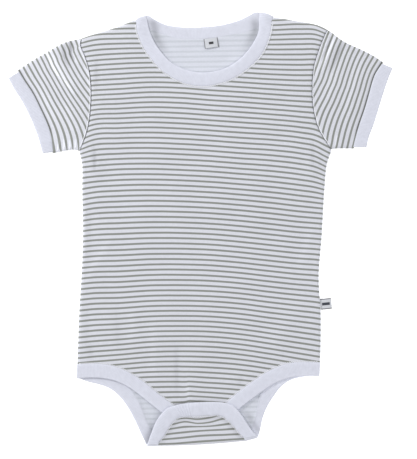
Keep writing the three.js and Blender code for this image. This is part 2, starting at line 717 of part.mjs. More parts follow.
// A curve moved sideways in plan, to its left for a positive distance
function movedAside(curve, distance, count) {
  const points = [];
  for (let i = 0; i <= count; i += 1) {
    const along = curve.getTangentAt(i / count);
    const p = curve.getPointAt(i / count);
    points.push([p.x - along.y * distance, p.y + along.x * distance]);
  }
  return curveThrough(points);
}

function sleeve(side) {
  const outline = sleeves[side];
  const away = side === 'left' ? -sleeveGap : sleeveGap;
  const near = movedAside(columnCurve(armholeSections, `${side}X`, `${side}Y`), away, armholeRows);
  const patch = {
    near,
    far: curveThrough(outline.cuffSeam),
    top: curveThrough([near.points[0].toArray(), ...outline.topFold.slice(1)]),
    bottom: curveThrough([near.points.at(-1).toArray(), ...outline.underside.slice(1)]),
  };
  return flatTube(patch, { ...steps.sleeve, thick: wall, loft: sleeveLoft });
}

function cuff(side) {
  const outline = sleeves[side];
  const away = side === 'left' ? -seamGap : seamGap;
  const near = movedAside(curveThrough(outline.cuffSeam), away, steps.cuff.columns);
  const patch = {
    near,
    far: curveThrough(outline.hem),
    top: curveThrough([near.points[0].toArray(), outline.hem[0]]),
    bottom: curveThrough([near.points.at(-1).toArray(), outline.hem.at(-1)]),
  };
  return flatTube(patch, { ...steps.cuff, thick: cuffThick, loft: 0 });
}

// Small woven label lying on what carries it, a little bowed across its width
function label(centre, size, low) {
  const rows = [];
  for (const v of [-0.5, 0, 0.5]) {
    const row = [];
    for (let c = 0; c <= 4; c += 1) {
      const u = c / 4 - 0.5;
      const p = vec(u * size.wide, v * size.high).applyAxisAngle(skyward, size.turn).add(centre);
      const bow = labelBow * (1 - (2 * u) ** 2);
      const outer = p.clone().setZ(low + labelThick + bow);
      row.push({ outer, inner: p.clone().setZ(low + bow / 2) });
    }
    rows.push(row);
  }
  return sheetGeometry(rows);
}

// The side label starts at the side seam, turned square to it
function sideLabelGeometry() {
  const side = columnCurve(bodySections, 'rightX', 'rightY').getPoints(steps.sideSeam);
  const closer = (a, b, y) => (Math.abs(a.y - y) < Math.abs(b.y - y) ? a : b);
  const near = (y) => side.reduce((best, p) => closer(p, best, y));
  const top = near(sideLabel.y + sideLabel.high / 2);
  const foot = near(sideLabel.y - sideLabel.high / 2);
  const turn = Math.atan2(foot.x - top.x, top.y - foot.y);
  const middleX = (top.x + foot.x) / 2;
  const centre = vec(middleX + seamGap + sideLabel.wide / 2, sideLabel.y);
  return label(centre, { ...sideLabel, turn }, 0);
}

const garment = new THREE.Group();
garment.add(
  piece('back_panel', backPanel(), clothWhite),
  piece('front_panel', frontPanel(), clothWhite),
  piece('left_sleeve', sleeve('left'), clothWhite),
  piece('right_sleeve', sleeve('right'), clothWhite),
  piece('left_cuff', cuff('left'), ribWhite),
  piece('right_cuff', cuff('right'), ribWhite),
  piece('neck_band', neckBand(), ribWhite),
  piece('front_leg_band', frontLegBand(), ribWhite),
  piece('back_leg_band', backLegBand(), ribWhite),
  piece('size_label', label(vec(sizeLabel.x, sizeLabel.y), sizeLabel, wall + seamGap), satinWhite),
  piece('side_label', sideLabelGeometry(), satinWhite),
);

// The origin is under the middle of the garment's box
const box = new THREE.Box3().setFromObject(garment);
garment.position.set(-(box.min.x + box.max.x) / 2, -(box.min.y + box.max.y) / 2, -box.min.z);
garment.updateMatrixWorld(true);

export default garment;
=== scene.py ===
"""A baby's short-sleeved striped bodysuit, laid flat on its back and seen from straight above.

Tables are in millimetres, in the frame of the model: +X to the viewer's right, +Y to the neck,
z = 0 the ground. Meshes are made in metres.
"""
import math

import bmesh
import bpy
import numpy as np
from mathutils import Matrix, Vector
from mathutils.bvhtree import BVHTree


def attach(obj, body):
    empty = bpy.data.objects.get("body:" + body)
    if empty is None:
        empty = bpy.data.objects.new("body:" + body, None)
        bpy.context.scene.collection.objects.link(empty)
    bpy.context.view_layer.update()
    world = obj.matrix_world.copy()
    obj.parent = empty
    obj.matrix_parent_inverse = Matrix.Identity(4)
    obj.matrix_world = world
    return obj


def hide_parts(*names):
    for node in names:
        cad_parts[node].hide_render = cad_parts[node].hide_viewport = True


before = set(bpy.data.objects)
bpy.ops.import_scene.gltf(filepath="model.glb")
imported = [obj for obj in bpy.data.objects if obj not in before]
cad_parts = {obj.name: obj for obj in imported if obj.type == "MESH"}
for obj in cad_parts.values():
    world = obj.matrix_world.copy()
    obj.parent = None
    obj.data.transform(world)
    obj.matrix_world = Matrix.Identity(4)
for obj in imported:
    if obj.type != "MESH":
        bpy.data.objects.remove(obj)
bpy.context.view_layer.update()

MM = 0.001
UP = np.array([0.0, 0.0, 1.0])
DOWN = -UP
OUTWARD = {"left": -1, "right": 1}  # which way along x each sleeve points

# Photograph, camera and studio
PHOTO_HIGH = 459
PHOTO_SCALE = 0.8778 * MM  # one pixel of the photograph, on the garment
PHOTO_CENTRE_X = 7.04 * MM  # the garment's middle is left of the picture's
CAMERA_HEIGHT = 2.2
SKY_STRENGTH = 0.74
FLOOR_HALF = 6000  # half the floor's side
GROUND_DROP = 0.1  # how far the floor lies below the garment

# Cloth
JERSEY = 1.0  # thickness of the striped jersey
RIB = 1.8  # thickness of a folded rib band
TAPE_THICK = 0.5
GAP = 0.3
FRONT_LOW = RIB + GAP  # underside of the front
FRONT_TOP = FRONT_LOW + 1.2
FLAP_LOW = FRONT_LOW + RIB + GAP
FLAP_TOP = FLAP_LOW + 1.2
SIDE_LOW = 0.7  # height of the front's folded sides
BODY_LOFT = 1.6
SLEEVE_LOFT = 1.2
SIDE_TURN = 3.0  # how far in from a folded edge the cloth has turned flat
SIDE_REACH = 0.45  # how far in the bends of the side seams are felt, a share of the width
TUCK = 0.8  # how far the jersey runs under a band
CUFF_INSET = 1.4  # room for a cuff's thickness at its two folds
STRIPE_PITCH = 4.53
STRIPE_BLUR = 0.22
RIB_PITCH = 1.25
COURSES = 8  # rows of knitting in one stripe and its gap
WALE = 0.62  # width of a column of stitches

# Mesh
GRID = 1.5  # mesh step on the jersey
PER_SPAN = 24  # points in each span of a curve
BODY_WIDE, BODY_LONG = 215, 300  # sizes that the mesh steps are shared out over
SLEEVE_DEEP, SLEEVE_LONG = 100, 60

# Colours, and painted light: how much lighter some places are painted
JERSEY_WHITE = (0.60, 0.61, 0.668, 1)
JERSEY_SAGE = (0.228, 0.238, 0.222, 1)
WRONG_WHITE = (0.60, 0.62, 0.69, 1)
WRONG_SAGE = (0.525, 0.55, 0.605, 1)
RIB_WHITE = (0.585, 0.60, 0.68, 1)
THREAD_WHITE = (0.82, 0.83, 0.87, 1)
TAPE_WHITE = (0.53, 0.545, 0.585, 1)
EDGE_LIGHT = 0.07  # painted light on a band at its folded edge
# painted light over a whole sleeve
SLEEVE_LIGHT = {"left": 0.07, "right": 0.0}

UNDERARM_Y = 72

# Side seams, a row per section, from the underarm to the leg opening
BODY_SECTIONS = [  # left x, left y, right x, right y
    (-106, 67.5, 115, 69),  # underarm
    (-104, 57, 111, 57),
    (-103.9, 35, 108.7, 33),  # chest
    (-103.2, -4, 106.5, -5),
    (-104.5, -40, 103.8, -42),  # waist
    (-106.5, -71, 105.5, -72),
    (-108, -106, 105.5, -101),  # hip
    (-108.5, -118.5, 104.9, -117),  # leg
]

ARMHOLE_SECTIONS = [  # left x, left y, right x, right y
    (-104, 167.5, 111.5, 175),  # shoulder
    (-105.3, 162, 108.5, 169),
    (-101.5, 152, 104, 157.5),
    (-97.5, 138.5, 99.5, 142.5),
    (-96, 122, 98, 121),  # deepest
    (-97, 101, 99.3, 105),
    (-100, 85, 104, 88),
    (-106, 69, 114.5, 70.5),  # underarm
]

SHOULDERS = {  # from the armhole to the neck
    "left": [(-104, 167.8), (-99, 169.6), (-87.6, 173.2), (-76, 176.7), (-64.7, 181),
             (-57.5, 184)],
    "right": [(111.5, 175.1), (106, 178.2), (97, 180.8), (89.5, 182.1), (75, 184.6),
              (63.8, 186.3)],
}

# Neck band in front, left shoulder to right, then behind, right shoulder to left
FRONT_NECK = [  # seam x, seam y, rim x, rim y
    (-57, 182.3, -47, 184.5),
    (-55.5, 172.5, -44.3, 173.5),
    (-48, 156, -37.5, 160),
    (-33, 138.7, -25, 146.3),
    (-15, 128.5, -11, 139.6),
    (3, 125.6, 4, 137.8),
    (24.5, 130.5, 20.5, 141),
    (41.5, 141, 34.5, 149.5),
    (54, 154, 44.5, 161),
    (61, 170.5, 50.7, 173.5),
    (63.5, 184.5, 51, 185.5),
]
BACK_NECK = [
    (63.7, 184.8, 46, 189.6),
    (54, 178.5, 41.5, 187.2),
    (41, 173.7, 33, 183.3),
    (22, 170, 18, 179.3),
    (2, 167.6, 1, 177.6),
    (-18, 167.6, -16, 177.5),
    (-34, 171.5, -30, 179.6),
    (-48, 177.5, -40, 184.1),
    (-56.5, 181.8, -43.6, 186.5),
]
NECK_FOLDS = {  # front to back: seam x, seam y, rim x, rim y, turn of the outer face in degrees
    "left": [
        (-57.1, 182.9, -47.5, 185.6, 30),
        (-57.2, 183.2, -47.9, 186.6, 60),
        (-57.2, 183.4, -47.5, 187.3, 90),
        (-57.1, 183.2, -46.2, 187.7, 120),
        (-56.8, 182.5, -44.8, 187.4, 150),
    ],
    "right": [
        (63.6, 185.8, 51.6, 187.6, 30),
        (63.7, 186.6, 51.6, 189.3, 60),
        (63.7, 186.9, 50.4, 190.2, 90),
        (63.7, 186.7, 48.8, 190.4, 120),
        (63.7, 185.8, 47.4, 190.2, 150),
    ],
}
# Where the outer face looks half way round each fold
NECK_FOLD_WAYS = {"left": (-0.34, 0.94), "right": (0.2, 0.98)}
# Height of the front's rim over its seam: x, height
RIM_LIFTS = [(-60, -0.1), (-44, -0.1), (-38, 0.1), (-25, 0), (20, 0), (34, 0),
             (44, 0.15), (51, 0), (65, -0.1)]

FRONT_LEGS = [  # edge x, edge y, seam x, seam y, from the left side seam to the right one
    (-108.3, -130.8, -108.1, -118),
    (-96.5, -129.8, -97, -117.5),
    (-85, -130.5, -84.5, -118),
    (-74, -133, -70.5, -121.5),
    (-61, -139.5, -54.5, -130),
    (-43, -153.5, -36, -144.5),
    (-33, -161.5, -25.5, -152.5),
    (-23, -171, -15, -162),
    (-12, -179.5, -6, -169),
    (1, -182, 1, -170),
    (14, -179, 8, -169),
    (24, -168.5, 16, -160),
    (34, -157.5, 26, -148.5),
    (50, -145, 42.5, -135.5),
    (65, -135, 58.5, -124.7),
    (79.5, -129.7, 76, -117.4),
    (93, -128.5, 92, -116),
    (104.2, -128.5, 104.9, -116.5),
]
BACK_LEGS = {  # edge x, edge y, seam x, seam y, from the side seam to the fold
    "left": [
        (-108.5, -130, -106.2, -117.5),
        (-98, -133.7, -96, -121.5),
        (-88.5, -136, -85, -124.2),
        (-79.5, -139.5, -73, -129.3),
        (-71, -146.5, -61.5, -139),
        (-63.5, -156.5, -53.3, -152),
        (-57, -168.5, -47.5, -166.5),
        (-52, -179.5, -42, -178.5),
        (-48.5, -186.5, -38.2, -186),
    ],
    "right": [
        (104, -128, 103, -116),
        (92, -129, 91, -117.3),
        (80, -131.7, 76, -120.5),
        (71, -137.5, 62.5, -128.7),
        (64, -146.5, 54.5, -140.5),
        (58.5, -155.5, 50.6, -152),
        (55, -164, 48.8, -162.5),
        (52.5, -174.5, 45, -173.5),
        (51, -180.5, 41, -182.5),
    ],
}
FLAP_BAND = [  # edge x, edge y, seam x, seam y, from the left end of the fold to the right one
    (-46, -186.5, -36.3, -186),
    (-43, -178, -32.3, -181.5),
    (-40, -170.5, -28, -174.5),
    (-35.5, -163, -24, -169),
    (-29, -156.5, -19.5, -165.3),
    (-21, -153.7, -15, -164),
    (-7.5, -151.7, -6, -163.8),
    (10, -151, 8, -163.3),
    (21, -151.7, 15, -162.8),
    (29, -154.5, 19.3, -164),
    (36.5, -163, 24, -167.5),
    (42, -171.5, 29, -172.5),
    (46.5, -177.7, 33.5, -178),
    (49.5, -180.5, 38, -182.3),
]
FLAP_CORNERS = (5, 8)  # rows of the table where the flap's end starts and stops
FLAP_GATHERS = (-23, -6, 2.4, 0.2)  # from x, to x, pitch, height
FOLD_LINE = (-47, -189.8, 50.5, -184.2, -1.5)  # left x, left y, right x, right y, bow
FOLD_CURL = 1.8  # how far the right end of the crotch fold curls up

SLEEVES = {
    "left": {
        "top": [(-104.3, 167.8), (-112.5, 166.3), (-121.5, 163.3), (-133.5, 156.4), (-148.5, 147.4),
                (-159.5, 139.7)],
        "under": [(-106.3, 69), (-111.5, 70), (-115, 69.6), (-128.5, 66.9)],
        "cuff": [(-159.5, 139.7), (-154.5, 131), (-147, 119.5), (-140, 105.5), (-134, 92.5),
                 (-130.7, 82), (-128.5, 66.9)],
        "hem": [(-168.9, 133.8), (-164.3, 124.8), (-155.5, 110.5), (-148.5, 96.5), (-143, 82.5),
                (-138, 65.6)],
        # stripe pitch: share of the way down the cuff, millimetres
        "pitch": [(0, 4.33), (0.1, 4.26), (0.2, 4.12), (0.3, 4.02), (0.45, 4.14), (0.6, 4.38),
                  (0.7, 4.66), (0.78, 4.95), (0.86, 5.2), (1, 5.2)],
    },
    "right": {
        "top": [(111.8, 175.1), (115, 173.1), (121, 168.3), (127, 164.3), (140.5, 158),
                (151, 152.5), (159.5, 146.5)],
        "under": [(114.8, 70.5), (119, 71), (133.5, 71)],
        "cuff": [(159.5, 146.5), (152.8, 135.5), (148, 120), (143.5, 104.5), (138.5, 90), (135, 77),
                 (133.5, 71)],
        "hem": [(169, 142.9), (164.4, 131.5), (158.6, 114), (151.8, 92), (147, 79), (145.2, 71)],
        "pitch": [(0, 4.58), (0.1, 4.38), (0.17, 4.21), (0.3, 4.23), (0.38, 4.26), (0.46, 4.39),
                  (0.62, 4.57), (0.78, 4.76), (0.9, 4.78), (1, 4.66)],
    },
}

# Stripes of the front: heights of chosen stripes, counted downwards, at a few places across
STRIPE_X = [-104.3, -95.5, -70.8, -44.4, -18, 8.4, 34.8, 61.2, 87.6, 100.8, 109]
STRIPE_Y = {
    -14: [180, 182, 184.7, 185.5, 185, 183, 181, 179.1, 179.9, 179.1, 175.7],
    -12: [171.7, 174.1, 176, 176, 175, 173.5, 171.5, 170.6, 171.3, 170.9, 168.2],
    -6: [146.7, 147.9, 149.7, 150.5, 149.7, 147.9, 146.2, 144.8, 144.3, 144.4, 143.3],
    0: [121, 121.8, 123.2, 124.7, 124.1, 122.1, 120.5, 118.6, 116.9, 116.3, 115.6],
    10: [74.5, 78.1, 80, 80.5, 79.5, 77.9, 75.9, 74.2, 71.3, 68.5, 64.3],
    15: [54.4, 55.4, 57.3, 57.7, 56.8, 55.4, 53.3, 51.3, 48.2, 45.8, 43],
    20: [30.5, 32.2, 34, 34.5, 33.9, 32.6, 30.6, 28.1, 25, 23.5, 22.4],
    30: [-15.3, -14.3, -13.3, -12.2, -12.2, -13.2, -15.4, -18.2, -20.9, -21.8, -22.8],
    40: [-61.5, -60.6, -59.8, -58.1, -57.8, -58.5, -60.5, -63.8, -66.8, -68.3, -69.7],
    50: [-108.1, -107.2, -105.3, -103, -102.3, -102.8, -105.1, -109, -113.4, -115.6, -117],
    60: [-150.9, -150.2, -149, -147.7, -146.9, -147.2, -149.4, -153.1, -157.5, -159.2, -160.4],
    61: [-155.4, -154.6, -153.8, -152.6, -151.4, -151.2, -153.7, -157.7, -162.1, -163.8, -165.1],
    66: [-178.8, -177.8, -176.3, -175, -174.6, -174.9, -177.3, -180.8, -185.3, -186.8, -188.3],
}

BACK_FIRST_STRIPE = 169.8  # height of the first stripe seen inside the neck
BACK_STRIPE_SLOPE = 0.016

KINK_X = -11.5  # where the front's last stripes jump up beside a small crease
KINK_RISE = 0.26  # how far, in stripes

# Stripes of the crotch flap, from the front edge to the fold
FLAP_STRIPE_X = [-35.6, -25.1, -13.6, -2.6, 8.4, 18.9, 29.5, 37.4]
FLAP_STRIPE_Y = [
    [-168, -166.7, -165.3, -166.1, -164.7, -162.1, -161.1, -160.6],
    [-172.4, -170.8, -168.3, -169.8, -168.8, -165.9, -164.9, -164.4],
    [-176.4, -174.4, -172.8, -172.6, -172.2, -171.1, -169.5, -168.8],
    [-180.2, -178.8, -177.5, -176.5, -175.8, -175.3, -174.5, -174],
    [-184.1, -183.2, -182.1, -180.9, -180.2, -179.9, -179.4, -179.1],
    [-187.8, -187.6, -186.8, -185.9, -185.1, -184.4, -183.7, -183.3],
]

# Soft ridges and troughs of the front: from x, from y, to x, to y, width, height
FRONT_FOLDS = [
    (-93, 74, -91, 38, 6, 1.3),
    (101, 80, 99, 44, 6, 1.3),
    (-92, -60, -60, -112, 9, 0.8),
    (92, -56, 62, -110, 9, 0.8),
    (-2, -95, 0, -145, 12, 0.9),
    (-20.6, -98, -20, -151, 2, -0.6),
    (-11.5, -134, -10.2, -150, 1.8, 0.6),
    (-92.5, 78, -92.5, 46, 3.2, -0.6),
    (-92.4, 70, -92.3, 50, 0.9, -0.7),
    (-90.2, 152, -90.6, 118, 2.5, -0.45),
    (-97, -98, -94.5, -118, 2.6, -0.45),
    (36.5, -126, 34, -142, 2.2, -0.4),
    (99, 80, 98.5, 50, 2.4, -0.6),
    (-76, -4, -105, -52, 3.5, 0.35),
    (-97, 22, -97, -32, 3, -0.3),
    (-73, -62, -71.5, -112, 3, -0.3),
    (-60, -66, -59, -108, 3.5, 0.3),
    (-41.5, -76, -40.5, -136, 3.5, 0.25),
    (-98.5, -60, -99.5, -112, 2.5, -0.3),
    (98, 6, 86, -40, 4, 0.35),
]

# Soft ridges and troughs of the sleeves: a line of places, width, height
SLEEVE_FOLDS = {
    "left": [
        ([(-134.6, 155), (-127.4, 140.4), (-117.4, 127.8), (-111, 120)], 1.5, 0.75),
        ([(-133, 158), (-125.9, 145.3), (-120.7, 137.4), (-112, 128)], 2.2, 0.4),
        ([(-148, 137), (-132, 121), (-114.5, 107)], 4.5, -0.3),
        ([(-114.5, 165.5), (-113.2, 159), (-113.2, 154), (-110.8, 149.5)], 1.7, -0.95),
        ([(-112.6, 158), (-110.5, 152.5), (-105.5, 145.5)], 1.2, 0.6),
        ([(-119.5, 161), (-118.5, 151.5), (-115, 143.5)], 2.4, -0.6),
        ([(-104, 168), (-107, 161.5), (-103.2, 152), (-98.8, 138), (-97.6, 122)], 0.8, 0.45),
        ([(-123.5, 77.5), (-124.6, 71.5), (-125, 68)], 0.8, 0.6),
        ([(-119.5, 79), (-119.2, 73), (-120, 69)], 0.8, 0.6),
        ([(-114.8, 78), (-114, 73), (-114.8, 70)], 0.8, 0.55),
        ([(-109.5, 78), (-109.3, 73), (-110, 70)], 0.8, 0.5),
        ([(-140, 128), (-133, 112), (-127, 96)], 4, 0.45),
        ([(-118, 112), (-112, 98), (-110, 84)], 4, 0.4),
    ],
    "right": [
        ([(118.4, 169.5), (114, 159), (109, 148.5), (106, 140)], 1.4, 0.75),
        ([(124.5, 164), (121.8, 156.5), (117.6, 147), (114.5, 139)], 2.6, -0.5),
        ([(115.5, 168.5), (111, 158), (106.8, 149)], 1.2, -0.5),
        ([(112.5, 170), (108.5, 159), (104.5, 147.5), (101.8, 136)], 1.1, 0.45),
        ([(100.2, 104), (105.2, 87.5), (112, 75.5)], 0.8, 0.45),
        ([(141, 150), (137, 132), (131, 112), (128, 92)], 4, 0.45),
        ([(122, 150), (117, 130), (112, 112)], 4.5, 0.4),
        ([(120, 82), (119, 76), (118.6, 72)], 1, 0.35),
    ],
}


def curve(points):
    """Dense points of a centripetal curve through places."""
    p = np.asarray(points, float)
    p = np.vstack([2 * p[0] - p[1], p, 2 * p[-1] - p[-2]])
    dense = []
    for a, b, c, d in zip(p, p[1:], p[2:], p[3:]):
        gaps = [max(np.linalg.norm(r - q) ** 0.5, 1e-4) for q, r in ((a, b), (b, c), (c, d))]
        start = ((b - a) / gaps[0] - (c - a) / (gaps[0] + gaps[1]) + (c - b) / gaps[1]) * gaps[1]
        end = ((c - b) / gaps[1] - (d - b) / (gaps[1] + gaps[2]) + (d - c) / gaps[2]) * gaps[1]
        t = np.linspace(0, 1, PER_SPAN, endpoint=False)[:, None]
        squared = -3 * b + 3 * c - 2 * start - end
        cubed = 2 * b - 2 * c + start + end
        dense.append(b + start * t + squared * t**2 + cubed * t**3)
    return np.vstack(dense + [p[-2:-1]])


def first_line(rows):
    """Curve through the first place of each row of a table."""
    return curve([row[:2] for row in rows])


def second_line(rows):
    return curve([row[2:4] for row in rows])


def unit(vectors):
    return vectors / np.linalg.norm(vectors, axis=-1, keepdims=True)


def ramp(value, start, end):
    """0 up to start, 1 from end on, and even between them; end may be the smaller one."""
    return np.clip((value - start) / (end - start), 0, 1)


def shares(dense):
    """Place of each point along a line, from 0 to 1, and the line's length."""
    steps = np.linalg.norm(np.diff(dense, axis=0), axis=1)
    run = np.concatenate([[0], np.cumsum(steps)])
    return run / run[-1], run[-1]


def mixed_shares(line, by_x):
    """Place of each point along a line, from 0 to 1, partly by its x and partly by length."""
    x = line[:, 0]
    return by_x * (x - x[0]) / (x[-1] - x[0]) + (1 - by_x) * shares(line)[0]


def read_off(wanted, known, line):
    """Points of a line at wanted values of a number that is known for each of its points."""
    return np.stack([np.interp(wanted, known, column) for column in line.T], axis=-1)


def along(dense, at):
    """Points of a dense line at shares of its length."""
    return read_off(at, shares(dense)[0], dense)


def tucked(seam, towards, amount=TUCK):
    """A seam line moved towards the band's other line, so that the jersey runs under the band."""
    return seam + unit(towards - seam) * amount


def aside(line):
    """Unit steps to the left of a line, in plan."""
    way = unit(np.gradient(line, axis=0))
    return np.stack([-way[:, 1], way[:, 0]], axis=1)


def patch(left, right, top, bottom, u, v, reach=None):
    """Points between four boundary lines that share their corners; u runs across, v downwards.

    The bends of the left and right lines die out within reach, a share of the way across."""
    u, v = u[None, :, None], v[:, None, None]
    if reach:
        from_left = np.clip(1 - u / reach, 0, 1) ** 2
        from_right = np.clip(1 - (1 - u) / reach, 0, 1) ** 2
    else:
        from_left, from_right = 1 - u, u
    bend_left = left[:, None] - (1 - v) * left[0] - v * left[-1]
    bend_right = right[:, None] - (1 - v) * right[0] - v * right[-1]
    return (1 - v) * top[None] + v * bottom[None] + from_left * bend_left + from_right * bend_right


def stations(length, step, near_start, near_end):
    """Shares of a length about step apart, closer together near its ends."""
    fine = np.array([0, 0.12, 0.35, 0.7, 1.15, 1.7, 2.35, SIDE_TURN])
    start = fine if near_start else np.array([0.0])
    end = length - fine[::-1] if near_end else np.array([length])
    count = max(2, round((end[0] - start[-1]) / step))
    middle = np.linspace(start[-1], end[0], count + 1)[1:-1]
    return np.concatenate([start, middle, end]) / length


def turned(distance, reach=SIDE_TURN):
    """0 at a folded edge, rising as a quarter circle to 1 where the cloth has turned flat."""
    d = np.clip(distance / reach, 0, 1)
    return np.sqrt(np.clip(1 - (1 - d) ** 2, 0, 1))


def ripple(x, y, size, seed):
    """Smooth unevenness about 1 high, from a few crossing waves."""
    rng = np.random.default_rng(seed)
    total = np.zeros_like(x)
    for _ in range(7):
        way = rng.uniform(0, math.pi)
        wave = size * rng.uniform(0.7, 1.6)
        phase = rng.uniform(0, 2 * math.pi)
        total += np.sin((x * math.cos(way) + y * math.sin(way)) * 2 * math.pi / wave + phase)
    return total / 3


def fold_height(x, y, widest=99):
    """Height of the front's ridges and troughs, without those wider than asked for."""
    height = np.zeros_like(x)
    for x0, y0, x1, y1, wide, high in FRONT_FOLDS:
        if wide > widest:
            continue
        dx, dy = x1 - x0, y1 - y0
        length = math.hypot(dx, dy)
        share = ((x - x0) * dx + (y - y0) * dy) / length**2
        away = ((x - x0) * dy - (y - y0) * dx) / length / wide
        height += high * np.sin(np.pi * np.clip(share, 0, 1)) * np.exp(-(away**2))
    return height


def stripe_number(x, y):
    """Which stripe of the front passes a place, with a fraction between two."""
    numbers = np.array(sorted(STRIPE_Y))
    fine_x = np.linspace(STRIPE_X[0] - 12, STRIPE_X[-1] + 12, 240)
    fine_n = np.arange(numbers[0] - 4, numbers[-1] + 4, 0.25)
    smooth = np.array([smooth_values(STRIPE_X, STRIPE_Y[n], fine_x) for n in numbers])
    field = np.array([smooth_values(numbers, column, fine_n) for column in smooth.T])
    place = np.clip((x - fine_x[0]) / (fine_x[1] - fine_x[0]), 0, len(fine_x) - 1.001)
    low = place.astype(int)
    part = place - low
    result = np.empty_like(x)
    for i in range(x.size):
        a, f = low.flat[i], part.flat[i]
        heights = (1 - f) * field[a] + f * field[a + 1]
        result.flat[i] = np.interp(-y.flat[i], -heights, fine_n)
    right = x - KINK_X
    kink = np.where(right > 0, np.exp(-right / 12), 1) / (1 + np.exp(-right / 0.9))
    return result + KINK_RISE * ramp(y, -120, -144) * kink


def smooth_values(at, values, wanted):
    """Cubic through a row of values, straight on past both ends."""
    at, values = np.asarray(at, float), np.asarray(values, float)
    slope = np.gradient(values, at)
    i = np.clip(np.searchsorted(at, wanted) - 1, 0, len(at) - 2)
    gap = at[i + 1] - at[i]
    t = (wanted - at[i]) / gap
    inside = np.clip(t, 0, 1)
    value = (
        values[i] * (1 + 2 * inside) * (1 - inside) ** 2
        + slope[i] * gap * inside * (1 - inside) ** 2
        + values[i + 1] * inside**2 * (3 - 2 * inside)
        + slope[i + 1] * gap * inside**2 * (inside - 1)
    )
    return value + (t - inside) * gap * np.where(t > 1, slope[-1], slope[0])


def normals(grid, loop=False):
    """Unit normals of a grid of points; loop joins its last column to its first."""
    across = np.roll(grid, -1, 1) - np.roll(grid, 1, 1) if loop else np.gradient(grid, axis=1)
    n = np.cross(np.gradient(grid, axis=0), across)
    return n / np.maximum(np.linalg.norm(n, axis=2, keepdims=True), 1e-9)


def grid_faces(rows, columns, first, loop):
    """Four-sided faces of a grid whose points are numbered row by row from first."""
    r = np.arange(rows - 1)[:, None]
    c = np.arange(columns if loop else columns - 1)[None]
    d = (c + 1) % columns
    corners = ((r, c), (r + 1, c), (r + 1, d), (r, d))
    return np.stack([first + i * columns + j for i, j in corners], axis=-1).reshape(-1, 4)


def make_object(name, points, faces, looks, face_looks=None, uv=None, tone=None):
    """Mesh object from points in millimetres, with its pattern places and its painted light and
    shade (tone) per point.
    """
    mesh = bpy.data.meshes.new(name)
    mesh.vertices.add(len(points))
    mesh.vertices.foreach_set("co", (np.asarray(points) * MM).ravel())
    sizes = np.array([len(f) for f in faces])
    loops = np.concatenate([np.asarray(f) for f in faces])
    mesh.loops.add(len(loops))
    mesh.loops.foreach_set("vertex_index", loops)
    mesh.polygons.add(len(faces))
    mesh.polygons.foreach_set("loop_start", np.concatenate([[0], np.cumsum(sizes)[:-1]]))
    for look in looks:
        mesh.materials.append(look)
    if face_looks is not None:
        mesh.polygons.foreach_set("material_index", np.asarray(face_looks, dtype=np.int32))
    if uv is not None:
        layer = mesh.uv_layers.new(name="cloth")
        layer.uv.foreach_set("vector", np.asarray(uv, dtype=np.float32)[loops].ravel())
    if tone is not None:
        values = mesh.attributes.new("tone", "FLOAT", "POINT").data
        values.foreach_set("value", np.asarray(tone, np.float32))
    mesh.update()
    mesh.validate()
    mesh.shade_smooth()
    obj = bpy.data.objects.new(name, mesh)
    bpy.context.collection.objects.link(obj)
    return obj


def shell(outer, inner, uv, loop=False):
    """Points, faces, sides and pattern places of a sheet of cloth; side 0 is its right side."""
    rows, columns = outer.shape[:2]
    count = rows * columns
    points = np.vstack([outer.reshape(-1, 3), inner.reshape(-1, 3)])
    top = grid_faces(rows, columns, 0, loop)
    under = grid_faces(rows, columns, count, loop)[:, ::-1]
    place = np.arange(count).reshape(rows, columns)
    if loop:
        rims = [place[0], place[-1][::-1]]
    else:
        rims = [np.concatenate([place[0, :-1], place[:-1, -1], place[-1, :0:-1], place[:0:-1, 0]])]
    border = [
        (b, a, count + a, count + b) for rim in rims for a, b in zip(rim, np.roll(rim, -1))
    ]
    faces = np.vstack([top, under, np.array(border)])
    sides = np.concatenate([np.zeros(len(top)), np.ones(len(under) + len(border))])
    return points, faces, sides, np.tile(uv.reshape(-1, 2), (2, 1))


def front_top_line():
    """Left shoulder, neckline and right shoulder of the front."""
    neck = tucked(first_line(FRONT_NECK), second_line(FRONT_NECK))
    return curve(SHOULDERS["left"]), neck, curve(SHOULDERS["right"])[::-1]


def spaced(parts, counts):
    """One line from several parts, each cut into its own count of equal steps."""
    points = [along(part, np.arange(count) / count) for part, count in zip(parts, counts)]
    return np.vstack(points + [parts[-1][-1:]])


def body_sides(down, top, bottom, inset=0.0):
    """Left and right edges of the body, at shares of their length, joined to the other edges."""
    sides = []
    for line_of, corner, sign in ((first_line, 0, 1), (second_line, -1, -1)):
        seam = np.vstack([line_of(ARMHOLE_SECTIONS), line_of(BODY_SECTIONS)[1:]])
        points = along(seam, down)
        points[:, 0] += sign * inset * ramp(points[:, 1], UNDERARM_Y, UNDERARM_Y - 6)
        points = points + (bottom[corner] - points[-1]) * down[:, None] ** 8
        sides.append(points + (top[corner] - points[0]) * (1 - down[:, None]) ** 8)
    return sides


def distance_grid(grid, axis):
    """Distance of each point from the start of its row or column, along the cloth."""
    steps = np.linalg.norm(np.diff(grid, axis=axis), axis=2)
    pad = [(0, 0), (0, 0)]
    pad[axis] = (1, 0)
    return np.pad(np.cumsum(steps, axis=axis), pad)


def nearness(x, y, line, reach):
    """1 on a line in plan, falling to 0 about twice its reach away."""
    flat = np.stack([x.ravel(), y.ravel()], axis=1)
    result = np.zeros(len(flat))
    low, high = line.min(axis=0) - 3 * reach, line.max(axis=0) + 3 * reach
    close = np.flatnonzero(np.all((flat > low) & (flat < high), axis=1))
    dx, dy = (flat[close, k, None] - line[:, k] for k in (0, 1))
    result[close] = np.exp(-((np.hypot(dx, dy).min(axis=1) / reach) ** 2))
    return result.reshape(x.shape)


def beside_flap(x, y, reach):
    return nearness(x, y, first_line(FLAP_BAND), reach)


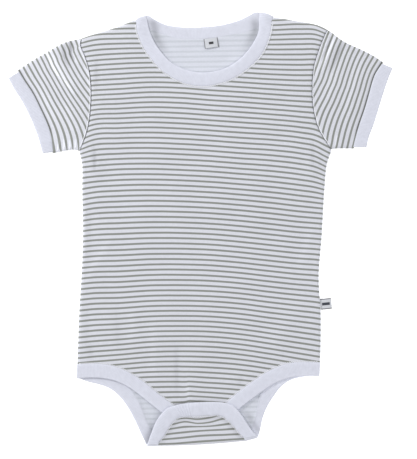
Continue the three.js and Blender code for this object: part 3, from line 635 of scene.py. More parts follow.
def front_plan():
    """The front seen from above, a row of points for each station down."""
    top = spaced(front_top_line(), [36, 96, 34])
    place = mixed_shares(top, 0.55)
    edges = stations(BODY_WIDE, GRID, True, True)
    left, right = edges[:8], edges[-8:]  # the stations on the folded sides
    middle = place[(place > left[-1]) & (place < right[0])]
    across = np.unique(np.concatenate([left, middle, right]))
    top = read_off(across, place, top)
    legs = tucked(second_line(FRONT_LEGS), first_line(FRONT_LEGS))
    bottom = read_off(across, mixed_shares(legs, 0.6), legs)
    down = stations(BODY_LONG, GRID, True, False)
    return patch(*body_sides(down, top, bottom), top, bottom, across, down, SIDE_REACH)


def seam_dip(distance):
    """Share of the cloth's height beside a band that lies over its edge."""
    return 1 - 0.18 * np.exp(-np.maximum(distance - TUCK, 0))


def front_panel(looks):
    plan = front_plan()
    x, y = plan[..., 0], plan[..., 1]
    from_left, from_top = distance_grid(plan, 1), distance_grid(plan, 0)
    from_right, from_bottom = from_left[:, -1:] - from_left, from_top[-1:] - from_top
    from_side = np.minimum(from_left, from_right)
    below_arm = ramp(y, UNDERARM_Y, UNDERARM_Y - 5)
    armhole = 1 - 0.45 * np.exp(-from_side / 0.9)
    at_side = below_arm * turned(from_side) + (1 - below_arm) * armhole
    neckline = (plan[:1, :, 0] > FRONT_NECK[0][0]) & (plan[:1, :, 0] < FRONT_NECK[-1][0])
    at_top = np.where(neckline, seam_dip(from_top), turned(from_top))
    shape = np.minimum(at_side, at_top) * seam_dip(from_bottom)
    share_across = from_left / (from_left + from_right + 1e-9)
    loft = BODY_LOFT * np.sin(np.pi * share_across) * np.sin(np.pi * ramp(y, -120, 130)) ** 0.8
    inside = ramp(from_side, 0, 8) * ramp(from_bottom, 0, 10) * ramp(from_top, 0, 10)
    uneven = (0.16 * ripple(x, y, 34, 3) + 0.05 * ripple(x, y, 11, 4)) * inside
    z = SIDE_LOW + (FRONT_TOP - SIDE_LOW) * shape + loft + fold_height(x, y) + uneven
    outer = np.dstack([x, y, z])
    inner = outer - normals(outer) * JERSEY
    inner[..., 2] = np.maximum(inner[..., 2], 0.15)
    places = np.dstack([x, stripe_number(x, y)])
    points, faces, sides, uv = shell(outer, inner, places)
    # Painted shade: a dark shadow line on the cloth along the flap's top edge; painted light and
    # shade on the narrow creases; a painted highlight along the right fold
    above_flap = np.minimum(ramp(x, -31, -26), ramp(x, 6, 0))
    tone = -0.42 * beside_flap(x, y, 1.0) * above_flap - 0.05 * beside_flap(x, y, 3.5)
    tone = tone + 0.17 * fold_height(x, y, widest=5)
    tone = tone + 0.25 * np.exp(-from_right / 1.2) * below_arm  # painted highlight along the right fold
    return make_object("front_cloth", points, faces, looks, sides, uv, np.tile(tone.ravel(), 2))


def crotch_painted_light(x, y, z):
    """Painted shade in the corners beside the flap on the ground, and painted light along its right
    side.
    """
    left = (x < 0) * ramp(y, -169, -178)
    right = (x > 0) * ramp(y, -158, -163) * ramp(y, -184, -180)
    dark = 0.3 * left * beside_flap(x, y, 4.0) + 0.24 * right * beside_flap(x - 5, y, 3.0)
    beside_leg = nearness(x, y, first_line(FRONT_LEGS), 2.4)
    light = 0.34 * (x > 0) * (beside_flap(x, y, 2.4) + beside_leg)
    return (light - dark) * (z < FRONT_LOW)


def neck_painted_shade(x, y, z):
    """Painted shade beside the front's rim where the neck folds over at the shoulders."""
    rim = second_line(FRONT_NECK)
    rim = rim[rim[:, 1] > 150]
    inwards = 3.0 + 1.8 * ramp(rim[:, 1], 168, 176) * (rim[:, 0] < 0)
    rim[:, 0] -= inwards * np.sign(rim[:, 0])
    high = ramp(y, 152, 168) * ramp(y, 187, 181)
    return -0.36 * nearness(x, y, rim, 4.0) * high * (z < FRONT_LOW)


def fold_y(x):
    """Where the crotch fold runs; its right end curls up."""
    x0, y0, x1, y1, bow = FOLD_LINE
    share = (x - x0) / (x1 - x0)
    curl = FOLD_CURL * ramp(x, x1 - 8, x1) ** 2
    return y0 + (y1 - y0) * share + bow * np.sin(np.pi * np.clip(share, 0, 1)) + curl


def leg_seam(side):
    return tucked(second_line(BACK_LEGS[side]), first_line(BACK_LEGS[side]))


def back_plan():
    """The back seen from above, down to where the crotch fold starts."""
    inset = 1.5  # keeps the back inside the front's folded sides
    left, _, right = front_top_line()
    neck = tucked(first_line(BACK_NECK[::-1]), second_line(BACK_NECK[::-1]))
    top = spaced([left - (0, inset), neck, right - (0, inset)], [18, 60, 18])
    low_left, low_right = leg_seam("left"), leg_seam("right")[::-1]
    fold = np.stack([np.linspace(low_left[-1, 0], low_right[0, 0], 25)] * 2, axis=-1)
    fold[:, 1] = fold_y(fold[:, 0]) + 3.2
    low_left[-1], low_right[0] = fold[0], fold[-1]
    bottom = spaced([low_left, fold, low_right], [70, 48, 70])
    across = shares(bottom)[0]
    top = read_off(across, mixed_shares(top, 0.5), top)
    down = stations(BODY_LONG, 2.2, True, True)
    return patch(*body_sides(down, top, bottom, inset), top, bottom, across, down, SIDE_REACH)


def back_panel(looks):
    plan = back_plan()
    x, y = plan[..., 0], plan[..., 1]
    from_neck = distance_grid(plan, 0)
    past_neck = np.maximum(from_neck - TUCK, 0)
    past_leg = np.maximum(from_neck[-1:] - from_neck - TUCK, 0)
    seam_rise = np.exp(-((past_neck / 4.5) ** 2)) + np.exp(-((past_leg / 4) ** 2))
    soft = 0.12 * (1 + ripple(x, y, 22, 6)) * ramp(y, -100, -40)
    height = JERSEY + soft + (RIB - JERSEY) * np.clip(seam_rise, 0, 1)
    height = np.minimum(height, RIB - 0.12 * np.exp(-((from_neck / 2) ** 2)))
    under_rim = nearness(x, y, second_line(FRONT_NECK), 4.0) * ramp(past_neck, 0, 3)
    height = np.minimum(height + 0.8 * under_rim, FRONT_LOW - 0.1)
    number = (BACK_FIRST_STRIPE + BACK_STRIPE_SLOPE * x - y) / STRIPE_PITCH
    grids = (np.dstack([x, y, z]) for z in (np.zeros_like(x), height))
    under, over = (grid[:, ::-1] for grid in grids)
    points, faces, sides, uv = shell(under, over, np.dstack([x, number])[:, ::-1])
    # Painted shade inside the neck and beside the flap, and painted light right of the flap
    tone = neck_painted_shade(*points.T) + crotch_painted_light(*points.T)
    return make_object("back_cloth", points, faces, looks, sides, uv, tone)


def flap_stripe(x, y):
    """Which stripe of the flap passes a place."""
    numbers = np.arange(len(FLAP_STRIPE_Y))
    heights = np.array([smooth_values(FLAP_STRIPE_X, row, x.ravel()) for row in FLAP_STRIPE_Y])
    fine = np.linspace(-2, len(numbers) + 1, 80)
    result = np.empty(x.size)
    for i, place in enumerate(y.ravel()):
        result[i] = np.interp(-place, -smooth_values(numbers, heights[:, i], fine), fine)
    return result.reshape(x.shape)


def flap_plan():
    """The flap's upper layer seen from above, a row of points for each station up."""
    seam = tucked(second_line(FLAP_BAND), first_line(FLAP_BAND), 2 * TUCK)
    a, b = (row * PER_SPAN for row in FLAP_CORNERS)
    across, up = np.linspace(0, 1, 57), np.linspace(0, 1, 26)
    left, right = along(seam[: a + 1], up), along(seam[b:][::-1], up)
    end = along(seam[a : b + 1], across)
    start = np.stack([left[0, 0] + (right[0, 0] - left[0, 0]) * across] * 2, axis=-1)
    start[:, 1] = fold_y(start[:, 0]) + FLAP_TOP / 2
    left = left + (start[0] - left[0]) * (1 - up[:, None]) ** 3
    right = right + (start[-1] - right[0]) * (1 - up[:, None]) ** 3
    return patch(left, right, start, end, across, up)


def crotch_fold(fold_start):
    """The cloth's outer face from the ground round the fold to the flap's first row."""
    centre = FLAP_TOP / 2
    turn = np.radians(np.linspace(-90, 90, 17))[:-1, None]
    ease = (np.sin(turn) + 1) / 2
    low_left, low_right = leg_seam("left")[-1, 0], leg_seam("right")[-1, 0]
    ground_x = np.linspace(low_left, low_right, len(fold_start))
    x = ground_x[None] * (1 - ease) + fold_start[None] * ease
    y = fold_y(x) + centre - centre * np.cos(turn)
    bent = np.dstack([x, y, centre + centre * np.sin(turn) + 0 * x])
    ground = np.repeat(bent[:1], 5, axis=0)
    ground[:, :, 1] += np.linspace(3, 0.6, 5)[:, None]
    return np.vstack([ground, bent])


def flap_cloth(looks):
    """The crotch end of the back: round the fold and up over the front, right side out."""
    plan = flap_plan()
    x, y = plan[..., 0], plan[..., 1]
    from_left, from_right = distance_grid(plan, 1), distance_grid(plan[:, ::-1], 1)[:, ::-1]
    dip = 1 - 0.1 * np.exp(-np.minimum(from_left, from_right) / 1.2)
    share_up = np.linspace(0, 1, len(plan))[:, None]
    wave = 0.35 * np.sin((x + 4) / 15 * math.pi) * share_up**2
    fold = crotch_fold(x[0])
    upper = np.dstack([x, y, FLAP_TOP * dip + wave + 0.1 * ripple(x, y, 14, 8)])
    outer = np.vstack([fold, upper])
    inner = outer + normals(outer) * JERSEY
    run = distance_grid(outer, 0)
    above = flap_stripe(x, y)
    number = np.vstack([above[0] + (run[len(fold)] - run[: len(fold)]) / STRIPE_PITCH, above])
    places = np.dstack([outer[..., 0], number])
    points, faces, sides, uv = shell(outer[:, ::-1], inner[:, ::-1], places[:, ::-1])
    # Painted shade on the cloth beside the flap's band
    beside_band = nearness(x, y, second_line(FLAP_BAND), 3.2)
    tone = np.vstack([np.zeros_like(fold[..., 0]), -0.22 * beside_band])[:, ::-1]
    return make_object("flap_cloth", points, faces, looks, sides, uv, np.tile(tone.ravel(), 2))


def stripes_from_line(line, pitch, x, y):
    """Stripe numbers counted square to a line, with a pitch that changes along it."""
    start = line[0] + (line[0] - line[8]) * np.linspace(6, 0.1, 60)[:, None]
    end = line[-1] + (line[-1] - line[-9]) * np.linspace(0.1, 6, 60)[:, None]
    share = np.concatenate([np.zeros(60), shares(line)[0], np.ones(60)])
    line = np.vstack([start, line, end])
    away = np.hypot(x[..., None] - line[:, 0], y[..., None] - line[:, 1])
    return away.min(axis=-1) / smooth_values(*zip(*pitch), share[away.argmin(axis=-1)])


def ridge_height(x, y, folds):
    """Height of ridges that follow lines of places and fade out at both ends."""
    height = np.zeros_like(x)
    for line, wide, high in folds:
        dense = along(curve(line), np.linspace(0, 1, 40))
        away = np.hypot(x[..., None] - dense[:, 0], y[..., None] - dense[:, 1])
        run = shares(dense)[0][away.argmin(axis=-1)]
        fade = np.sin(np.pi * (0.06 + 0.88 * run)) ** 0.6
        height = height + high * fade * np.exp(-((away.min(axis=-1) / wide) ** 2))
    return height


def sleeve_painted_light(side, x, y):
    """Painted light and shade on the creases, painted light over a whole sleeve, and a painted
    shadow line beside the cuff.
    """
    narrow = ridge_height(x, y, [fold for fold in SLEEVE_FOLDS[side] if fold[1] < 3])
    wide = ridge_height(x, y, [fold for fold in SLEEVE_FOLDS[side] if fold[1] > 3])
    tone = np.clip(0.55 * narrow + 0.15 * wide, -0.4, 0.45) + SLEEVE_LIGHT[side]
    seam = curve(SLEEVES[side]["cuff"]) - np.array([OUTWARD[side] * 0.5, 0])
    return tone - 0.5 * nearness(x, y, seam, 1.1) * ramp(y, 80, 88)


def sleeve_stripes(side, x, y, from_under):
    """Stripes beside the cuff; the left sleeve's fold and gathers draw them aside."""
    table = SLEEVES[side]
    number = stripes_from_line(curve(table["cuff"]), table["pitch"], x, y) - 0.06
    if side == "right":
        return number
    number = number - 0.22 * np.sin(np.pi * np.clip(number / 7.5, 0, 1))
    return number + 0.2 * np.sin((x + 107) / 4.9 * 2 * math.pi) * np.exp(-from_under / 4)


def there_and_back(upper, lower):
    """One closed loop across both layers of a flattened tube."""
    return np.concatenate([upper, lower[:, -2:0:-1]], axis=1)


def sleeve_cloth(side, looks):
    table = SLEEVES[side]
    line_of = first_line if side == "left" else second_line
    u, v = stations(SLEEVE_DEEP, 1.0, True, True), np.linspace(0, 1, 72)
    near, far = along(line_of(ARMHOLE_SECTIONS), u), along(curve(table["cuff"]), u)
    far = far + np.array([OUTWARD[side] * TUCK, 0])
    top, under = along(curve(table["top"]), v), along(curve(table["under"]), v)
    plan = patch(top, under, near, far, u, v)
    x, y = plan[..., 0], plan[..., 1]
    from_top = distance_grid(plan, 1)
    from_under = from_top[:, -1:] - from_top
    round_edge = turned(np.minimum(from_top, from_under))
    down, out = u[None], v[:, None]
    at_seams = 0.45 * np.exp(-out * SLEEVE_LONG / 0.9) + 0.3 * np.exp((out - 1) * SLEEVE_LONG)
    loft = SLEEVE_LOFT * np.sin(np.pi * down) * np.sin(np.pi * out)
    creases = ridge_height(x, y, SLEEVE_FOLDS[side]) + 0.08 * ripple(x, y, 22, 12)
    middle = FRONT_TOP / 2
    high = middle + (middle + creases - at_seams) * round_edge + loft
    upper, lower = np.dstack([x, y, high]), np.dstack([x, y, middle * (1 - round_edge)])
    places = np.dstack([from_top, sleeve_stripes(side, x, y, from_under)])
    tone = sleeve_painted_light(side, x, y)
    pairs = (upper, lower), (places, places), (tone, 0 * tone)
    outer, uv, tone = (there_and_back(*pair) for pair in pairs)
    if side == "right":
        outer, uv, tone = outer[:, ::-1], uv[:, ::-1], tone[:, ::-1]
    inner = outer - normals(outer, loop=True) * JERSEY
    points, faces, sides, uv = shell(outer, inner, uv, loop=True)
    name = f"{side}_sleeve_cloth"
    return make_object(name, points, faces, looks, sides, uv, np.tile(tone.ravel(), 2))


def band_profile():
    """Closed section of a rib band: share of its width from the seam, share of its thickness."""
    under = np.array([0.0, 0.012, 0.1, 0.3, 0.5, 0.7, 0.92])
    turn = np.radians(np.linspace(-70, 70, 6))
    over = np.array([0.92, 0.75, 0.55, 0.35, 0.18, 0.09, 0.035, 0.0])
    over_up = np.array([1.0, 1.03, 1.04, 1.03, 0.99, 0.93, 0.82, 0.6])
    across = np.concatenate([under, 0.92 + 0.08 * np.cos(turn), over])
    return across, np.concatenate([0 * under, 0.5 + 0.5 * np.sin(turn), over_up])


def fix_direction(obj):
    """Turns the faces of a closed mesh outwards."""
    work = bmesh.new()
    work.from_mesh(obj.data)
    bmesh.ops.recalc_face_normals(work, faces=work.faces)
    work.to_mesh(obj.data)
    work.free()


def band(name, seam, edge, out, looks, closed=False, gathers=None, tone=None, thinner=None):
    """Folded rib strip through sections given by seam and edge points on its inner face."""
    across, up = band_profile()
    run = np.linalg.norm(np.diff((seam + edge) / 2, axis=0), axis=1)
    run = np.concatenate([[0], np.cumsum(run)])
    at = np.linspace(0, run[-1], int(run[-1] / RIB_PITCH) * 4, endpoint=not closed)
    seam, edge, out = (read_off(at, run, line) for line in (seam, edge, out))
    rib = 0.09 * np.cos(at * 2 * math.pi / RIB_PITCH)
    thick = RIB + 0.07 * ripple(at, at * 0, 26, len(name))[:, None]
    if thinner:
        thick = thick * thinner(seam[:, 1:2], across[None])
    if gathers:
        start, end, pitch, high = gathers  # from x to x, on the layer that lies highest
        place = (seam[:, 0] + edge[:, 0]) / 2
        inside = ramp(place, start, start + 4) * ramp(place, end, end - 4)
        rib = rib + inside * (seam[:, 2] > FRONT_LOW) * high * np.cos(at * 2 * math.pi / pitch)
    grow = (up[None] - 0.5) * 2 * rib[:, None] * np.clip(across * 12, 0.3, 1)[None]
    height = np.maximum(up[None] * thick + grow, 0)
    rings = seam[:, None] + (edge - seam)[:, None] * across[None, :, None]
    rings = rings + unit(out)[:, None] * height[..., None]
    rings[..., 2] = np.maximum(rings[..., 2], 0)
    rows, columns = rings.shape[:2]
    points = rings.reshape(-1, 3)
    faces = [tuple(f) for f in grid_faces(rows, columns, 0, True)[:, ::-1]]
    last = (rows - 1) * columns
    if closed:
        pairs = [(j, (j + 1) % columns) for j in range(columns)]
        faces += [(last + j, last + k, k, j) for j, k in pairs]
    else:
        faces += [tuple(range(columns)), tuple(range(last, last + columns))[::-1]]
    width = np.linalg.norm(edge - seam, axis=1)
    uv = np.dstack([at[:, None] + 0 * across[None], across[None] * width[:, None]])
    # Painted light on each band's folded edge, added to any painted light and shade given
    light = np.tile(EDGE_LIGHT * ramp(across, 0.7, 1), rows) + (tone(*points.T) if tone else 0)
    obj = make_object(name, points, faces, looks, None, uv.reshape(-1, 2), light)
    fix_direction(obj)
    return obj


def raised(points, z):
    """Points in plan, lifted to a height or to one height each."""
    return np.column_stack([points, np.broadcast_to(np.asarray(z, float), (len(points),))])


def facing(way, count):
    return np.repeat(np.asarray(way, float)[None], count, axis=0)


def layer(seam, edge, z, way):
    """Sections of a band that lies flat: seam line, edge line and the way its outer face looks."""
    return raised(seam, z), raised(edge, z), facing(way, len(seam))


def joined(parts):
    """Seam, edge and way of a band that runs through several parts."""
    return [np.vstack([part[k] for part in parts]) for k in range(3)]


def turn_sections(rows, sideways, z_front, z_back):
    """Sections of a band where it folds over: the outer face swings from up, sideways, to down."""
    seam, edge, out = [], [], []
    for seam_x, seam_y, edge_x, edge_y, degrees in rows:
        angle = math.radians(degrees)
        ease = (1 + math.cos(angle)) / 2
        seam.append((seam_x, seam_y, z_back[0] + (z_front[0] - z_back[0]) * ease))
        edge.append((edge_x, edge_y, z_back[1] + (z_front[1] - z_back[1]) * ease))
        out.append(np.array([*sideways, 0.0]) * math.sin(angle) + UP * math.cos(angle))
    return np.array(seam), np.array(edge), np.array(out)


def neck_press(y, across):
    """How flat the neck band is pressed, by height and by share of its width from the seam."""
    rim = 0.5 * ramp(y, 150, 170) * across
    fold = ramp(y, 177, 183)
    return (1 - fold) * (1 - rim) + fold * (0.2 + 0.5 * np.sin(np.pi * across))


def neck_band(looks):
    front_seam, front_rim = first_line(FRONT_NECK), second_line(FRONT_NECK)
    lift = smooth_values(*zip(*RIM_LIFTS), front_rim[:, 0])
    front = raised(front_seam, FRONT_LOW), raised(front_rim, FRONT_LOW + lift)
    folds = {}
    for side, end in (("left", 0), ("right", -1)):
        front_z = FRONT_LOW, FRONT_LOW + lift[end]
        folds[side] = turn_sections(NECK_FOLDS[side], NECK_FOLD_WAYS[side], front_z, (RIB, RIB))
    back = layer(first_line(BACK_NECK), second_line(BACK_NECK), RIB, DOWN)
    over_left = [a[::-1] for a in folds["left"]]
    parts = [(*front, facing(UP, len(front_seam))), folds["right"], back, over_left]
    sections = joined(parts)
    return band("neck_rib", *sections, looks, closed=True, tone=neck_painted_shade, thinner=neck_press)


def front_leg_band(looks):
    sections = layer(second_line(FRONT_LEGS), first_line(FRONT_LEGS), FRONT_LOW, UP)
    return band("front_leg_rib", *sections, looks)


def crotch_turn(side):
    """Sections of the back leg band round the fold at the crotch."""
    low = BACK_LEGS[side][-1]
    high = FLAP_BAND[0] if side == "left" else FLAP_BAND[-1]
    centre = (FLAP_LOW + RIB) / 2
    seam, edge, out = [], [], []
    for angle in np.radians(np.linspace(-80, 80, 13)):
        ease = (math.sin(angle) + 1) / 2
        way = np.array([0, -math.cos(angle), math.sin(angle)])
        for line, column in ((edge, 0), (seam, 2)):
            x = low[column] * (1 - ease) + high[column] * ease
            line.append(np.array([x, fold_y(x) + centre, centre]) + way * (centre - RIB))
        out.append(way)
    return np.array(seam), np.array(edge), np.array(out)


def back_leg_band(looks):
    left, right = (
        layer(second_line(BACK_LEGS[side]), first_line(BACK_LEGS[side]), RIB, DOWN)
        for side in ("left", "right")
    )
    flap = layer(second_line(FLAP_BAND), first_line(FLAP_BAND), FLAP_LOW, UP)
    turn_up, turn_down = crotch_turn("left"), [a[::-1] for a in crotch_turn("right")]
    sections = joined([left, turn_up, flap, turn_down, [a[::-1] for a in right]])
    return band("back_leg_rib", *sections, looks, gathers=FLAP_GATHERS, tone=crotch_painted_light)


def cuff(side, looks):
    """Band round the sleeve's mouth: over the upper layer, round the fold, back under the lower."""
    at = np.linspace(0, 1, 60)
    seam, edge = (along(curve(SLEEVES[side][name]), at) for name in ("cuff", "hem"))
    way = unit(seam[-1] - seam[0])
    mirrored = 1 - 2 * at[:, None]
    room = way * (mirrored * CUFF_INSET) * np.abs(mirrored) ** 3
    seam, edge = seam + room, edge + room
    level = (RIB + GAP / 2,) * 2
    turning = np.linspace(10, 170, 9)
    under_turn = [(*seam[-1], *edge[-1], turn) for turn in turning]
    top_turn = [(*seam[0], *edge[0], turn) for turn in turning[::-1]]
    parts = [
        layer(seam, edge, FRONT_LOW, UP),
        turn_sections(under_turn, way, level, level),
        [a[::-1] for a in layer(seam, edge, RIB, DOWN)],
        turn_sections(top_turn, -way, level, level),
    ]
    return band(f"{side}_cuff_rib", *joined(parts), looks, closed=True)


def zigzag(path, pitch, swing):
    """Places of a zigzag along a path, in plan."""
    count = int(shares(path)[1] / pitch * 2)
    middle = along(path, np.linspace(0, 1, count + 1))
    return middle + aside(middle) * (swing * (-1.0) ** np.arange(count + 1))[:, None]


def laid_on(piece, places, over):
    """The places in plan, raised a little over the top of a piece."""
    tree = BVHTree.FromObject(piece, bpy.context.evaluated_depsgraph_get())
    down = Vector((0, 0, -1))
    hits = [tree.ray_cast(Vector((x, y, 0.05)), down)[0] for x, y in places * MM]
    heights = np.array([hit.z / MM if hit else np.nan for hit in hits])
    known = np.flatnonzero(~np.isnan(heights))
    heights = np.interp(np.arange(len(heights)), known, heights[known])
    return np.column_stack([places, heights + over])


def tube(line, radius, first, around=5):
    """Points and faces of a thin tube along a line, its points numbered from first."""
    way = unit(np.gradient(line, axis=0))
    right = unit(np.cross(way, UP))
    over = np.cross(right, way)
    angles = np.arange(around) * 2 * math.pi / around
    rings = [line + radius * (right * math.cos(a) + over * math.sin(a)) for a in angles]
    faces = [tuple(f) for f in grid_faces(len(line), around, first, True)]
    last = first + (len(line) - 1) * around
    faces += [tuple(range(first, first + around)), tuple(range(last, last + around))[::-1]]
    return np.stack(rings, axis=1).reshape(-1, 3), faces


def sewing(front, flap, sleeves, look):
    """Zigzag sewing thread along the seams, laid on the cloth beside each."""
    neck, legs = first_line(FRONT_NECK), second_line(FRONT_LEGS)
    seams = [  # line, way to its left, points cut off its ends, cloth, stitch, swing, radius
        (neck, -0.4, 8, front, 1.7, 0.45, 0.42),
        (legs, 0.4, 4, front, 1.7, 0.45, 0.3),
        (second_line(FLAP_BAND), -0.3, 8, flap, 1.7, 0.35, 0.22),
    ]
    for side, line_of in (("left", first_line), ("right", second_line)):
        armhole = line_of(ARMHOLE_SECTIONS)
        seams.append((armhole, OUTWARD[side] * 0.7, 4, sleeves[side], 2.2, 0.12, 0.3))
    points, faces = [], []
    for line, beside, cut, piece, pitch, swing, radius in seams:
        path = (line + aside(line) * beside)[cut:-cut]
        centre = laid_on(piece, zigzag(path, pitch, swing), radius * 0.5)
        more_points, more_faces = tube(centre, radius, sum(len(p) for p in points))
        points.append(more_points)
        faces += more_faces
    obj = make_object("sewing_thread", np.vstack(points), faces, [look])
    fix_direction(obj)
    return obj


def label(name, centre, size, turn, low, bow, look):
    """A piece of tape, its middle bowed up off what it lies on."""
    u, v = np.meshgrid(np.linspace(-0.5, 0.5, 25), np.linspace(0.5, -0.5, 17))
    wide, high = size
    x = u * wide * math.cos(turn) - v * high * math.sin(turn) + centre[0]
    y = u * wide * math.sin(turn) + v * high * math.cos(turn) + centre[1]
    z = low + bow * (1 - (2 * u) ** 2) + 0.08 * np.sin(v * 6 + u * 2)
    under, over = np.dstack([x, y, z]), np.dstack([x, y, z + TAPE_THICK])
    points, faces, _, uv = shell(over, under, np.dstack([u + 0.5, v + 0.5]))
    obj = make_object(name, points, faces, [look], np.zeros(len(faces)), uv)
    fix_direction(obj)
    return obj


class Nodes:
    """Builds a material's node tree from short calls."""

    def __init__(self, name, roughness, sheen, specular=0.25):
        self.material = bpy.data.materials.new(name)
        self.material.use_nodes = True
        self.tree = self.material.node_tree
        self.shader = self.tree.nodes["Principled BSDF"]
        self.shader.inputs["Roughness"].default_value = roughness
        self.shader.inputs["Sheen Weight"].default_value = sheen
        self.shader.inputs["Sheen Roughness"].default_value = 0.5
        self.shader.inputs["Specular IOR Level"].default_value = specular

    def new(self, kind):
        return self.tree.nodes.new("ShaderNode" + kind)

    def put(self, value, socket):
        """Links a socket to another, or gives it a plain value."""
        if isinstance(value, bpy.types.NodeSocket):
            self.tree.links.new(value, socket)
        else:
            socket.default_value = value

    def math(self, kind, a, b=0.0, c=0.0):
        node = self.new("Math")
        node.operation = kind
        for value, socket in zip((a, b, c), node.inputs):
            self.put(value, socket)
        return node.outputs[0]

    def times(self, a, b):
        return self.math("MULTIPLY", a, b)

    def scaled(self, value, factor, added):
        return self.math("MULTIPLY_ADD", value, factor, added)

    def from_half(self, value):
        return self.math("ABSOLUTE", self.math("SUBTRACT", value, 0.5))

    def stitch(self, row):
        """A wave from 0 to 1, one to each row of knitting."""
        return self.scaled(self.math("SINE", self.times(row, 2 * math.pi)), 0.5, 0.5)

    def noise(self, place, scale, detail):
        node = self.new("TexNoise")
        self.put(place, node.inputs["Vector"])
        node.inputs["Scale"].default_value = scale
        node.inputs["Detail"].default_value = detail
        return node.outputs["Fac"]

    def step(self, value, low, high, to_low, to_high):
        """A smooth step from one amount to another."""
        node = self.new("MapRange")
        node.interpolation_type = "SMOOTHSTEP"
        names = "Value", "From Min", "From Max", "To Min", "To Max"
        for name, amount in zip(names, (value, low, high, to_low, to_high)):
            self.put(amount, node.inputs[name])
        return node.outputs["Result"]

    def mix(self, share, a, b):
        node = self.new("Mix")
        node.data_type = "RGBA"
        for value, socket in ((share, 0), (a, 6), (b, 7)):
            self.put(value, node.inputs[socket])
        return node.outputs[2]

    def shade(self, colour, amount):
        node = self.new("VectorMath")
        node.operation = "SCALE"
        self.put(colour[:3] if isinstance(colour, tuple) else colour, node.inputs[0])
        self.put(amount, node.inputs["Scale"])
        return node.outputs["Vector"]

    def cloth_place(self):
        """The two pattern places of a piece."""
        uv = self.new("UVMap")
        uv.uv_map = "cloth"
        split = self.new("SeparateXYZ")
        self.put(uv.outputs[0], split.inputs[0])
        return split.outputs[0], split.outputs[1]

    def with_painted_light(self, amount):
        """An amount changed by the painted light and shade that a mesh keeps, none by default."""
        node = self.new("Attribute")
        node.attribute_name = "tone"
        return self.times(amount, self.math("ADD", node.outputs["Fac"], 1.0))

    def object_place(self):
        return self.new("TexCoord").outputs["Object"]

    def finish(self, colour, height=None, distance=0.1 * MM, strength=0.6):
        self.put(colour, self.shader.inputs["Base Color"])
        if height is not None:
            bump = self.new("Bump")
            bump.inputs["Strength"].default_value = strength
            bump.inputs["Distance"].default_value = distance
            self.put(height, bump.inputs["Height"])
            self.put(bump.outputs[0], self.shader.inputs["Normal"])
        return self.material


def thread_look():
    m = Nodes("sewing_thread", 0.6, 0.1, 0.3)
    tone = m.scaled(m.noise(m.object_place(), 900, 2), 0.12, 0.94)
    return m.finish(m.shade(THREAD_WHITE, tone))


def jersey(name, ground, stripe, half_width):
    """Knitted stripes: the pattern places give the column and the number of the stripe."""
    m = Nodes(name, 0.92, 0.25)
    across, number = m.cloth_place()
    place = m.object_place()
    wavy = m.math("ADD", number, m.scaled(m.noise(place, 90, 2), 0.05, -0.025))
    centred = m.math("SUBTRACT", m.math("FRACT", m.math("ADD", wavy, 0.5)), 0.5)
    away = m.times(m.math("ABSOLUTE", centred), STRIPE_PITCH)
    dark = m.step(away, half_width - STRIPE_BLUR, half_width + STRIPE_BLUR, 1.0, 0.0)
    in_column = m.from_half(m.math("FRACT", m.math("DIVIDE", across, WALE)))
    row = m.scaled(in_column, 1.1, m.times(number, COURSES))
    leg = m.step(in_column, 0.38, 0.5, 1.0, 0.15)
    height = m.times(m.math("POWER", m.stitch(row), 0.6), leg)
    height = m.scaled(m.noise(place, 2400, 3), 0.25, height)
    yarn = m.scaled(m.noise(place, 700, 2), 0.12, 0.94)
    # Painted shade in the hollows between the stitches
    hollow_shade = m.scaled(height, 0.10, 0.92)
    cloudy = m.scaled(m.noise(place, 14, 3), 0.05, 0.975)
    tone = m.with_painted_light(m.times(m.times(yarn, hollow_shade), cloudy))
    colour = m.shade(m.mix(dark, ground, stripe), tone)
    return m.finish(colour, height, 0.12 * MM, 0.5)


def rib_knit():
    m = Nodes("rib_knit", 0.9, 0.3)
    run, across = m.cloth_place()
    place = m.object_place()
    wave = m.math("COSINE", m.times(run, 2 * math.pi / RIB_PITCH))
    row = m.scaled(m.math("ABSOLUTE", wave), 0.4, m.math("DIVIDE", across, 0.55))
    height = m.scaled(m.noise(place, 2400, 3), 0.3, m.times(m.stitch(row), 0.7))
    # Painted shade in the hollows between the ribs
    valley_shade = m.step(wave, -1.0, 0.1, 0.93, 1.0)
    yarn = m.scaled(m.noise(place, 600, 2), 0.08, 0.96)
    cloudy = m.scaled(m.noise(place, 260, 2), 0.16, 0.92)
    colour = m.shade(RIB_WHITE, m.with_painted_light(m.times(m.times(valley_shade, yarn), cloudy)))
    return m.finish(colour, height, 0.1 * MM, 0.45)


def tape(name, mark_colour, rim_colour, rimmed, rim_from, bar):
    """White woven tape with a plain woven bar where a maker's words would be."""
    m = Nodes(name, 0.55, 0.1, 0.4)
    across, up = m.cloth_place()
    bar_x = m.step(m.from_half(across), bar, bar + 0.03, 1.0, 0.0)
    bar_y = m.step(m.from_half(up), 0.11, 0.15, 1.0, 0.0)
    axis = across if rimmed == "sides" else up
    rim = m.step(m.from_half(axis), rim_from, rim_from + 0.04, 0.0, 1.0)
    weave = m.math("SINE", m.times(m.math("ADD", across, up), 420))
    ground = m.shade(TAPE_WHITE, m.scaled(weave, 0.02, 0.98))
    colour = m.mix(rim, m.mix(m.times(bar_x, bar_y), ground, mark_colour), rim_colour)
    return m.finish(colour, weave, 0.05 * MM, 0.3)


def floor_look():
    m = Nodes("floor_paper", 0.9, 0.0, 0.1)
    m.shader.inputs["Emission Color"].default_value = (1, 1, 1, 1)
    m.shader.inputs["Emission Strength"].default_value = 0.5
    tone = m.scaled(m.noise(m.object_place(), 3, 2), 0.004, 0.995)
    return m.finish(m.shade((0.96, 0.96, 0.96, 1), tone))


def make_camera():
    data = bpy.data.cameras.new("camera")
    camera = bpy.data.objects.new("camera", data)
    bpy.context.collection.objects.link(camera)
    data.sensor_width = 36
    data.lens = data.sensor_width * CAMERA_HEIGHT / (PHOTO_HIGH * PHOTO_SCALE)
    camera.location = (PHOTO_CENTRE_X, 0, CAMERA_HEIGHT)
    data.clip_end = 20
    bpy.context.scene.camera = camera


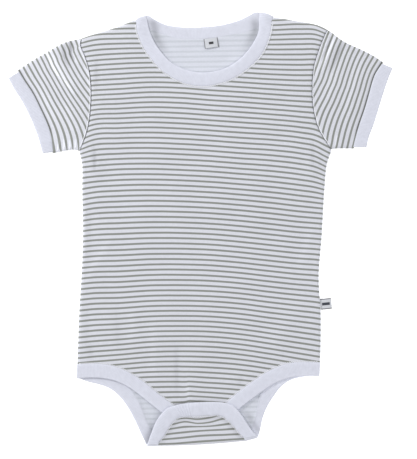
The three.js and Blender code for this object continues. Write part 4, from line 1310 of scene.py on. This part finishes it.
def area_light(name, place, size, power):
    data = bpy.data.lights.new(name, "AREA")
    data.shape = "DISK"
    data.size = size
    data.energy = power
    light = bpy.data.objects.new(name, data)
    bpy.context.collection.objects.link(light)
    light.location = place
    light.rotation_mode = "QUATERNION"
    light.rotation_quaternion = (-Vector(place)).to_track_quat("-Z", "Y")


def make_studio():
    world = bpy.data.worlds.new("studio")
    world.use_nodes = True
    sky = world.node_tree.nodes["Background"]
    sky.inputs["Color"].default_value = (1, 1, 1, 1)
    sky.inputs["Strength"].default_value = SKY_STRENGTH
    bpy.context.scene.world = world
    area_light("key", (-1.5, 1.1, 1.3), 1.0, 36)
    area_light("fill", (1.3, -0.6, 1.4), 1.2, 6)
    bpy.context.scene.view_settings.view_transform = "Standard"
    corners = ((-1, -1), (1, -1), (1, 1), (-1, 1))
    points = [(x * FLOOR_HALF, y * FLOOR_HALF, -GROUND_DROP) for x, y in corners]
    floor = make_object("floor", points, [(0, 1, 2, 3)], [floor_look()])


def dress(piece, node):
    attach(piece, "root")
    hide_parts(node)
    return piece


make_camera()
make_studio()

right_side = jersey("striped_jersey", JERSEY_WHITE, JERSEY_SAGE, 0.86)
wrong_side = jersey("striped_jersey_wrong_side", WRONG_WHITE, WRONG_SAGE, 0.9)
striped, rib = [right_side, wrong_side], [rib_knit()]

back = dress(back_panel(striped), "back_panel")
flap = dress(flap_cloth(striped), "back_panel")
front = dress(front_panel(striped), "front_panel")
sleeve_pieces = {
    side: dress(sleeve_cloth(side, striped), f"{side}_sleeve") for side in OUTWARD
}
cuffs = {side: dress(cuff(side, rib), f"{side}_cuff") for side in OUTWARD}
neck = dress(neck_band(rib), "neck_band")
front_legs = dress(front_leg_band(rib), "front_leg_band")
back_legs = dress(back_leg_band(rib), "back_leg_band")

size_tape = tape("size_tape", (0.02, 0.02, 0.025, 1), (0.13, 0.13, 0.14, 1), "sides", 0.43, 0.15)
size_label = label("size_tape", (9.4, 163.6), (12.2, 8.4), 0.14, 1.5, 0.4, size_tape)
side_tape = tape("side_tape", (0.03, 0.035, 0.05, 1), (0.12, 0.12, 0.14, 1), "ends", 0.39, 0.34)
side_label = label("side_tape", (110.1, -65.2), (9.6, 9.4), 0.1, 0.2, 0.5, side_tape)
dress(size_label, "size_label")
dress(side_label, "side_label")

stitches = sewing(front, flap, sleeve_pieces, thread_look())
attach(stitches, "root")
